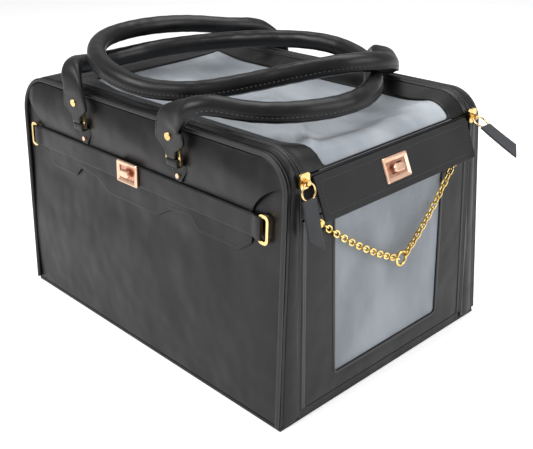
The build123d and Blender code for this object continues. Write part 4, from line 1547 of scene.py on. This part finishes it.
@dataclass(frozen=True)
class FrontFlap:
    """Flap over the top of the door, with its turn lock and stitched border."""

    form: Form
    lock: TurnLock
    half_width: float = 107.0
    length: float = 40.0
    thickness: float = 3.0
    tilt: float = 22.0
    hinge_off: float = 0.6
    hinge_z: float = 236.5
    lock_down: float = 19.2
    lock_y: float = -8.0

    def place(self, across: Array, down: Array, lift: Array) -> Array:
        """Point on the flap: across it, down from its hinge edge and off its back face."""
        tilt = radians(self.tilt)
        x = self.form.half_length + self.hinge_off + sin(tilt) * down + cos(tilt) * lift
        z = self.hinge_z - cos(tilt) * down + sin(tilt) * lift
        return np.stack(np.broadcast_arrays(x, across, z), -1)

    def lift_curl(self, across: Array, down: Array) -> Array:
        """Slow ripple along the free edge."""
        return 0.5 * (down / self.length) ** 2 * np.sin(across / 33.0 + 0.6)

    def leather(self) -> None:
        """Two leather layers round the lock's slot, a hair apart, and a stitched border."""
        slot = rounded_loop(12.5, 7.0, 0.6, 10, 5) + [self.lock_y, self.lock_down]
        outer = rounded_loop(self.half_width, self.length / 2, 3.0, 10, 5) + [0, self.length / 2]

        def curled(across: Array, down: Array, lift: Array) -> Array:
            """Point on the rippled flap."""
            return self.place(across, down, lift + self.lift_curl(across, down))

        surface = band(curled, slot, outer)
        shape = Shape()
        around = Span.even(len(slot), True)
        shape.slab(surface, around, Span.edged(26, 0.02), 1.35, 0.5, 3.0)
        inner = band(curled, slot, outer * [0.997, 0.985] + [0, 0.3])
        shape.slab(inner, around, Span.edged(26, 0.02), 1.5, 0.4, 1.55)
        shape.piece("front_flap_leather", Finish.FLAP, "front_flap", ["front_flap"])
        border = rounded_loop(self.half_width - 6.0, self.length / 2 - 6.0, 2.5, 40, 6) + [0, self.length / 2]
        path = curled(border[:, 0], border[:, 1], np.full(len(border), 3.05))
        tilt = radians(self.tilt)
        out = np.array([cos(tilt), 0.0, sin(tilt)])
        thread = StitchRow(3.4, 2.5, 0.34).sew(Shape(), np.concatenate([path, path[:1]]), out)
        thread.piece("front_flap_stitches", Finish.THREAD, "front_flap")

    def build(self) -> None:
        """Leather, lock frame and turn bar."""
        self.leather()

        def seat(a: Array, b: Array, level: Array) -> Array:
            """Point on the lock's seat on the flap."""
            return self.place(self.lock_y + a, self.lock_down + b, self.thickness + level)

        plate, floor = self.lock.plate(seat, False)
        a, b = self.lock.half_width - self.lock.rim, self.lock.half_height - self.lock.rim
        framed([(a + 0.4, b + 0.4, 0.6, 0.05), (a + 0.4, b + 0.4, 0.6, 0.5), (8.4, 4.7, 1.2, 0.4),
                (8.4, 4.7, 1.2, -0.3)], seat, floor)
        floor.piece("front_lock_slot", Finish.COPPER, "front_flap", sharp=22.0)
        plate.piece("front_lock_frame", Finish.ROSE, "front_flap", ["front_lock_plate"], sharp=22.0)
        bar = self.lock.bar(seat, -self.thickness - 0.2, self.lock.thickness + 0.4)
        bar.piece("front_lock_bar", Finish.ROSE, "front_toggle", ["front_lock_toggle"], sharp=22.0)
        dress(Finish.COPPER, "front_lock_base")


# -------------------------------------------------------------------- handles

NEAR_ROUTE = (
    (-98, -137, 28), (-126, -104, 18), (-134, -56, 15), (-124, -6, 18), (-86, 36, 23), (-31, 78, 28),
    (28, 110, 27), (84, 106, 20), (130, 72, 15), (166, 28, 14), (181, -22, 14), (164, -68, 14),
    (136, -98, 15), (104, -134, 27),
)
FAR_ROUTE = (
    (88, 136, 20), (124, 107, 15), (151, 64, 33), (138, 18, 37), (108, -14, 30), (76, -50, 21),
    (44, -92, 15), (4, -122, 18), (-40, -128, 28), (-84, -116, 36), (-122, -84, 41), (-138, -42, 42),
    (-139, 4, 41), (-124, 46, 38), (-102, 84, 31), (-92, 126, 27),
)


@dataclass(frozen=True)
class Handle:
    """One rolled handle: a soft leather roll that flattens into a riveted tab at each end."""

    form: Form
    trim: SideTrim
    side: Side
    radius: float = 9.7
    thickness: float = 3.0

    def route(self) -> Array:
        """The roll's guide points with both tabs, from one tab's tip to the other's."""
        trim, form = self.trim, self.form
        sign = 1 if self.side is Side.NEAR else -1
        y = sign * (trim.ring_y - 1.3 - form.gap - self.thickness / 2)
        points = NEAR_ROUTE if self.side is Side.NEAR else FAR_ROUTE
        start, end = (-1, 1) if self.side is Side.NEAR else (1, -1)
        ends = []
        for end_sign in (start, end):
            x = trim.middle_x + end_sign * trim.station
            ends.append([(x, y, z) for z in (232.4, 240.0, 248.0, 256.0, 264.0)])
        middle = [(x, y2, form.height + rise) for x, y2, rise in points]
        return np.array(ends[0] + middle + ends[1][::-1], float)

    def line(self, count: int) -> tuple[Array, Array, Array]:
        """Smooth centre line: a quadratic B-spline on the guide points, evenly spaced.

        Each span is the sum of three neighbours weighted (1 - t)^2 / 2, 1/2 + t - t^2 and t^2 / 2.

        Args:
            count: places along it.

        Returns:
            Places, unit tangents and distances along the line.
        """
        guide = self.route()
        guide = np.concatenate([2 * guide[:1] - guide[1:2], guide, 2 * guide[-1:] - guide[-2:-1]])
        t = np.linspace(0, 1, 24, endpoint=False)[None, :, None]
        a, b, c = guide[:-2, None], guide[1:-1, None], guide[2:, None]
        dense = (a * (1 - t) ** 2 / 2 + b * (0.5 + t - t**2) + c * t**2 / 2).reshape(-1, 3)
        run = np.concatenate([[0.0], np.cumsum(np.linalg.norm(np.diff(dense, axis=0), axis=1))])
        at = np.linspace(0, run[-1], count)
        path = np.stack([np.interp(at, run, dense[:, i]) for i in range(3)], -1)
        kernel = np.hanning(9)
        kernel /= kernel.sum()
        eased = np.stack([np.convolve(np.pad(path[:, i], 4, "edge"), kernel, "valid") for i in range(3)], -1)
        keep = np.minimum(at, at[-1] - at)[:, None] < 12.0
        path = np.where(keep, path, eased)
        return path, unit(np.gradient(path, axis=0)), at

    def frames(self, tangent: Array, at: Array) -> tuple[Array, Array]:
        """Across and up vectors along the line.

        The guide vector turns from straight out of the bag at the tabs to straight up over the lid,
        and is squared to the tangent.

        Args:
            tangent: unit tangents.
            at: distances along the line.

        Returns:
            Unit vectors across and out of the roll.
        """
        sign = -1.0 if self.side is Side.NEAR else 1.0
        share = smooth((np.minimum(at, at[-1] - at) - 30.0) / 55.0)[:, None]
        guide = (1 - share) * np.array([0.0, sign, 0.15]) + share * np.array([0.0, 0.0, 1.0])
        wide = unit(np.cross(tangent, guide))
        return wide, unit(np.cross(wide, tangent))

    def section(self, at: Array, turn: Array) -> Array:
        """Half-sizes and outline of the section along the line.

        A superellipse: flat and square-cornered at the tab, a circle along the roll. The roll has a
        narrow flange where its edges are sewn together, and shallow wrinkles where it bends.

        Args:
            at: distances along the line.
            turn: angles round the section.

        Returns:
            (across, up) at each distance and angle.
        """
        end = np.minimum(at, at[-1] - at)
        places = np.array([0.0, 1.2, 7.0, 15.0, 19.0, 30.0, 44.0, 62.0, 84.0])
        half_wide = np.interp(end, places, [5.8, 6.6, 7.6, 19.6, 20.8, 18.6, 14.4, 10.6, self.radius])
        half_up = np.interp(end, places, [1.1, 1.45, 1.5, 1.5, 1.5, 2.0, 4.6, 8.6, self.radius])
        square = np.interp(end, places, [5.0, 6.0, 7.0, 7.0, 7.0, 5.0, 3.0, 2.1, 2.0])
        power = 2 / square[:, None]
        c, s = np.cos(turn)[None], np.sin(turn)[None]
        across = half_wide[:, None] * np.sign(c) * np.abs(c) ** power
        up = half_up[:, None] * np.sign(s) * np.abs(s) ** power
        rolled = smooth((end - 34.0) / 34.0)[:, None]
        off = np.angle(np.exp(1j * (turn - self.flange_turn)))[None]
        flange = 1 + rolled * 0.20 * np.exp(-((off / 0.2) ** 2))
        crease = 0.012 * np.sin(at / 2.9 + 0.7 * np.sin(at / 13.0))[:, None] * np.cos(turn - 1.2)[None] ** 2
        soft = 1 + rolled * (crease + 0.012 * np.sin(at / 31.0)[:, None])
        return np.stack([across * flange * soft, up * flange * soft], -1)

    @property
    def flange_turn(self) -> float:
        """Angle of the sewn flange round the roll: low on the outer side of the loop."""
        return radians(211.0)

    def build(self) -> None:
        """Leather, stitches along the flange and round the tabs, and rivets."""
        name = self.side.value
        path, tangent, at = self.line(440)
        wide, up = self.frames(tangent, at)
        turn = np.linspace(0, 2 * pi, 56, endpoint=False)
        section = self.section(at, turn)
        shape = Shape().tube(path, wide, up, section)
        stands_for = [f"{name}_handle_roll", f"{name}_handle_tabs"]
        shape.piece(f"{name}_handle_leather", Finish.HANDLE, f"{name}_handle", stands_for, sharp=50.0)
        thread = Shape()
        rim = self.section(at, np.array([self.flange_turn - 0.33]))[:, 0]
        out = unit(rim[:, :1] * wide + rim[:, 1:] * up)
        rolled = slice(36, -36)
        seam = path + rim[:, :1] * wide + rim[:, 1:] * up
        StitchRow(4.4, 3.2, 0.5).sew(thread, seam[rolled], out[rolled])
        sign = -1.0 if self.side is Side.NEAR else 1.0
        for flip in (False, True):
            rows = slice(1, 22)
            edge_path = (path[::-1] if flip else path)[rows]
            edge_wide = (wide[::-1] if flip else wide)[rows]
            half = (section[::-1] if flip else section)[rows, :, 0].max(1) - 2.2
            thick = (section[::-1] if flip else section)[rows, :, 1].max(1)
            for hand in (-1, 1):
                out = np.array([0.0, sign, 0.0])
                row = edge_path + hand * half[:, None] * edge_wide + out * (thick[:, None] + 0.02)
                StitchRow(3.2, 2.4, 0.34).sew(thread, row, out)
        thread.piece(f"{name}_handle_stitches", Finish.THREAD, f"{name}_handle")
        dress(Finish.GOLD, f"{name}_handle_rivets")


# ------------------------------------------------------------ sliders and pulls


@dataclass(frozen=True)
class Pull:
    """Zip slider with its ring and two-layer leather pull tab."""

    form: Form
    side: Side
    lift: float
    bail_x: float = 221.7
    bail_z: float = 236.0
    slider_z: float = 237.0
    ring_radius: float = 7.6
    width: float = 15.0
    length: float = 46.0
    point: float = 12.0
    thickness: float = 2.4
    curl: float = 2.0
    twist: float = 8.0

    def place(self, across: Array, down: Array, lift: Array) -> Array:
        """Point on the tab, hanging from the bail and swung out.

        The tab curls out as the square of the way down it and twists evenly, then the whole turns
        about the bail.
        """
        below = np.clip((down - 14.0) / self.length, 0, 1)
        turn = radians(self.twist) * below
        out = lift * np.cos(turn) + across * np.sin(turn) + self.curl * below**2
        across = across * np.cos(turn) - lift * np.sin(turn)
        swing = radians(self.lift)
        x = self.bail_x + out * cos(swing) + down * sin(swing)
        z = self.bail_z - down * cos(swing) + out * sin(swing)
        sign = -1.0 if self.side is Side.NEAR else 1.0
        y = sign * float(self.form.zip_half(np.array(self.slider_z)))
        return np.stack(np.broadcast_arrays(x, y + across, z), -1)

    def build(self) -> None:
        """Tab of two layers with stitches along both edges; its tip is cut on a slant."""
        name = self.side.value
        half = self.width / 2
        top = 2 * self.ring_radius - 1.4
        hand = 1.0 if self.side is Side.NEAR else -1.0

        def surface(u: Array, v: Array, lift: Array) -> Array:
            """Share u down the tab, share v across it."""
            across = half * (2 * v - 1)
            end = top + self.length - self.point * (0.5 - hand * across / self.width)
            return self.place(across, top + (end - top) * u, lift)

        shape = Shape()
        layer = self.thickness / 2
        shape.slab(surface, Span.edged(30, 0.012), Span.edged(9, 0.04), layer - 0.06, 0.4, layer)
        shape.slab(surface, Span.edged(30, 0.012), Span.edged(9, 0.04), layer - 0.06, 0.4, -0.06)
        stands_for = [f"{name}_pull_tab"]
        shape.piece(f"{name}_pull_leather", Finish.TAB, f"{name}_pull", stands_for)
        thread = Shape()
        tilt = radians(self.lift)
        out = np.array([cos(tilt), 0.0, sin(tilt)])
        for face in (1, -1):
            for v in (0.15, 0.85):
                u = np.linspace(0.05, 0.95, 40)
                row = surface(u, np.full(40, v), np.full(40, face * (layer + 0.02)))
                StitchRow(3.0, 2.2, 0.3).sew(thread, row, face * out)
        thread.piece(f"{name}_pull_stitches", Finish.THREAD, f"{name}_pull")
        dress(Finish.GOLD, f"{name}_slider", f"{name}_pull_ring")


# ---------------------------------------------------------------------- floor


@dataclass(frozen=True)
class FloorPad:
    """Stiff board and padded mat on the bottom."""

    inset: float = 3.0
    voxel: float = 0.005
    pressure: float = 4.0
    cap: float = 0.006
    frames: int = 20

    def build(self) -> None:
        """Mat swollen by cloth simulation from a slightly smaller rounded slab."""
        dress(Finish.BOARD, "base_board")
        low, high = (Vector(c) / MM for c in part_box("floor_mat"))
        middle = (low + high) / 2
        size = (high - low) / 2

        def place(a: Array, b: Array, level: Array) -> Array:
            """Point about the mat's middle."""
            return np.stack(np.broadcast_arrays(a + middle.x, b + middle.y, level), -1)

        a, b = size.x - self.inset, size.y - self.inset
        rings = [(a - 4, b - 4, 18, low.z + 1.0), (a - 1, b - 1, 19, low.z + 2.5), (a, b, 20, middle.z - 1),
                 (a, b, 20, middle.z), (a - 1, b - 1, 19, high.z - 5.0), (a - 5, b - 5, 16, high.z - 3.2)]
        slab = lofted(rings, place, Shape(), 8)
        mat = slab.piece("floor_cushion", Finish.MAT, "bag", ["floor_mat"], sharp=180)
        self.swell(mat)

    def swell(self, mat: bpy.types.Object) -> None:
        """Remesh the mat, inflate it as cloth and keep each point within the cap of where it was.

        Args:
            mat: the mat's piece.
        """
        bpy.context.view_layer.objects.active = mat
        mat.select_set(True)
        remesh = mat.modifiers.new("remesh", "REMESH")
        remesh.mode = "VOXEL"
        remesh.voxel_size = self.voxel
        bpy.ops.object.modifier_apply(modifier=remesh.name)
        before = np.empty(len(mat.data.vertices) * 3)
        mat.data.vertices.foreach_get("co", before)
        cloth = mat.modifiers.new("cloth", "CLOTH")
        cloth.settings.use_pressure = True
        cloth.settings.uniform_pressure_force = self.pressure
        cloth.settings.effector_weights.gravity = 0.0
        cloth.point_cache.frame_start = 1
        cloth.point_cache.frame_end = self.frames
        for number in range(1, self.frames + 1):
            bpy.context.scene.frame_set(number)
        bpy.ops.object.modifier_apply(modifier=cloth.name)
        bpy.context.scene.frame_set(1)
        after = np.empty(len(mat.data.vertices) * 3)
        mat.data.vertices.foreach_get("co", after)
        move = (after - before).reshape(-1, 3)
        length = np.linalg.norm(move, axis=1, keepdims=True)
        kept = before.reshape(-1, 3) + move * np.minimum(1.0, self.cap / np.maximum(length, 1e-9))
        low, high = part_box("floor_mat")
        kept[:, 2] = np.clip(kept[:, 2], low.z, high.z)
        mat.data.vertices.foreach_set("co", kept.ravel())
        subdivide = mat.modifiers.new("subdivide", "SUBSURF")
        subdivide.levels = subdivide.render_levels = 1
        mat.data.polygons.foreach_set("use_smooth", np.ones(len(mat.data.polygons), bool))
        mat.data.update()


# --------------------------------------------------------------------- studio


@dataclass(frozen=True)
class Softbox:
    """Area light: where it is, what it looks at, its size and its power."""

    name: str
    place: tuple[float, float, float]
    target: tuple[float, float, float]
    size: tuple[float, float]
    power: float

    def build(self) -> None:
        """Make the light."""
        data = bpy.data.lights.new(self.name, "AREA")
        data.shape = "RECTANGLE"
        data.size, data.size_y = self.size
        data.energy = self.power
        made = bpy.data.objects.new(self.name, data)
        made.location = self.place
        aim = Vector(self.target) - Vector(self.place)
        made.rotation_euler = aim.to_track_quat("-Z", "Y").to_euler()
        bpy.context.scene.collection.objects.link(made)


@dataclass(frozen=True)
class Studio:
    """Camera, softboxes, world and pale floor."""

    place: tuple[float, float, float] = (0.67224, -0.57559, 0.49430)
    turn: float = 47.6
    pitch: float = 24.62
    roll: float = -1.96
    lens: float = 57.47
    world: float = 0.42

    def camera(self) -> None:
        """Camera whose axes come from its turn about Z, its pitch and its roll."""
        a, e, t = radians(self.turn), radians(self.pitch), radians(self.roll)
        back = Vector((sin(a) * cos(e), -cos(a) * cos(e), sin(e)))
        right = Vector((cos(a), sin(a), 0))
        up = back.cross(right)
        x = cos(t) * right + sin(t) * up
        y = -sin(t) * right + cos(t) * up
        data = bpy.data.cameras.new("view")
        data.lens = self.lens
        data.sensor_width = 36.0
        data.clip_start = 0.01
        made = bpy.data.objects.new("view", data)
        axes = Matrix((x, y, back)).transposed().to_4x4()
        made.matrix_world = Matrix.Translation(self.place) @ axes
        bpy.context.scene.collection.objects.link(made)
        bpy.context.scene.camera = made

    def build(self) -> None:
        """Camera, world, floor and lights."""
        self.camera()
        world = bpy.data.worlds.new("studio")
        world.use_nodes = True
        tree = world.node_tree
        lit = tree.nodes["Background"]
        lit.inputs["Strength"].default_value = self.world
        lit.inputs["Color"].default_value = (1.0, 1.0, 1.0, 1.0)
        seen = tree.nodes.new("ShaderNodeBackground")
        seen.inputs["Color"].default_value = (1.0, 1.0, 1.0, 1.0)
        rays = tree.nodes.new("ShaderNodeLightPath")
        pick = tree.nodes.new("ShaderNodeMixShader")
        tree.links.new(rays.outputs["Is Camera Ray"], pick.inputs[0])
        tree.links.new(lit.outputs[0], pick.inputs[1])
        tree.links.new(seen.outputs[0], pick.inputs[2])
        tree.links.new(pick.outputs[0], tree.nodes["World Output"].inputs["Surface"])
        bpy.context.scene.world = world
        bpy.context.scene.view_settings.view_transform = "Standard"
        reach = 6.0
        corners = reach * np.array([[-1, -1, 0], [1, -1, 0], [1, 1, 0], [-1, 1, 0]], float)
        mesh = bpy.data.meshes.new("studio_floor")
        mesh.from_pydata(corners.tolist(), [], [(0, 1, 2, 3)])
        mesh.materials.append(Finish.FLOOR.material())
        floor = bpy.data.objects.new("studio_floor", mesh)
        floor.location.z = -0.0005
        bpy.context.scene.collection.objects.link(floor)
        for light in (
            Softbox("key", (-0.3, -1.3, 1.5), (0.0, 0.0, 0.12), (1.2, 0.9), 26.0),
            Softbox("fill", (1.5, 0.5, 1.0), (0.1, 0.0, 0.12), (1.0, 1.0), 12.0),
            Softbox("top", (0.0, 0.5, 1.6), (0.0, 0.0, 0.2), (1.4, 0.8), 14.0),
        ):
            light.build()


def main() -> None:
    """Build every sub-assembly in order."""
    logging.basicConfig(level=logging.INFO, format="%(name)s: %(message)s")
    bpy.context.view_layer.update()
    Studio().build()
    form = Form.read()
    shell = Shell(form)
    shell.build()
    lid = Lid(form, shell)
    lid.build()
    Door(form, shell).build()
    Zips(form, shell).build(lid)
    Piping(form).build()
    trim = SideTrim(form, TurnLock())
    trim.build()
    FrontFlap(form, TurnLock()).build()
    for side in Side:
        Handle(form, trim, side).build()
    for side, lift in ((Side.NEAR, NEAR_PULL_LIFT), (Side.FAR, FAR_PULL_LIFT)):
        Pull(form, side, lift).build()
    FloorPad().build()
    bpy.context.view_layer.update()


if __name__ == "__main__":
    main()
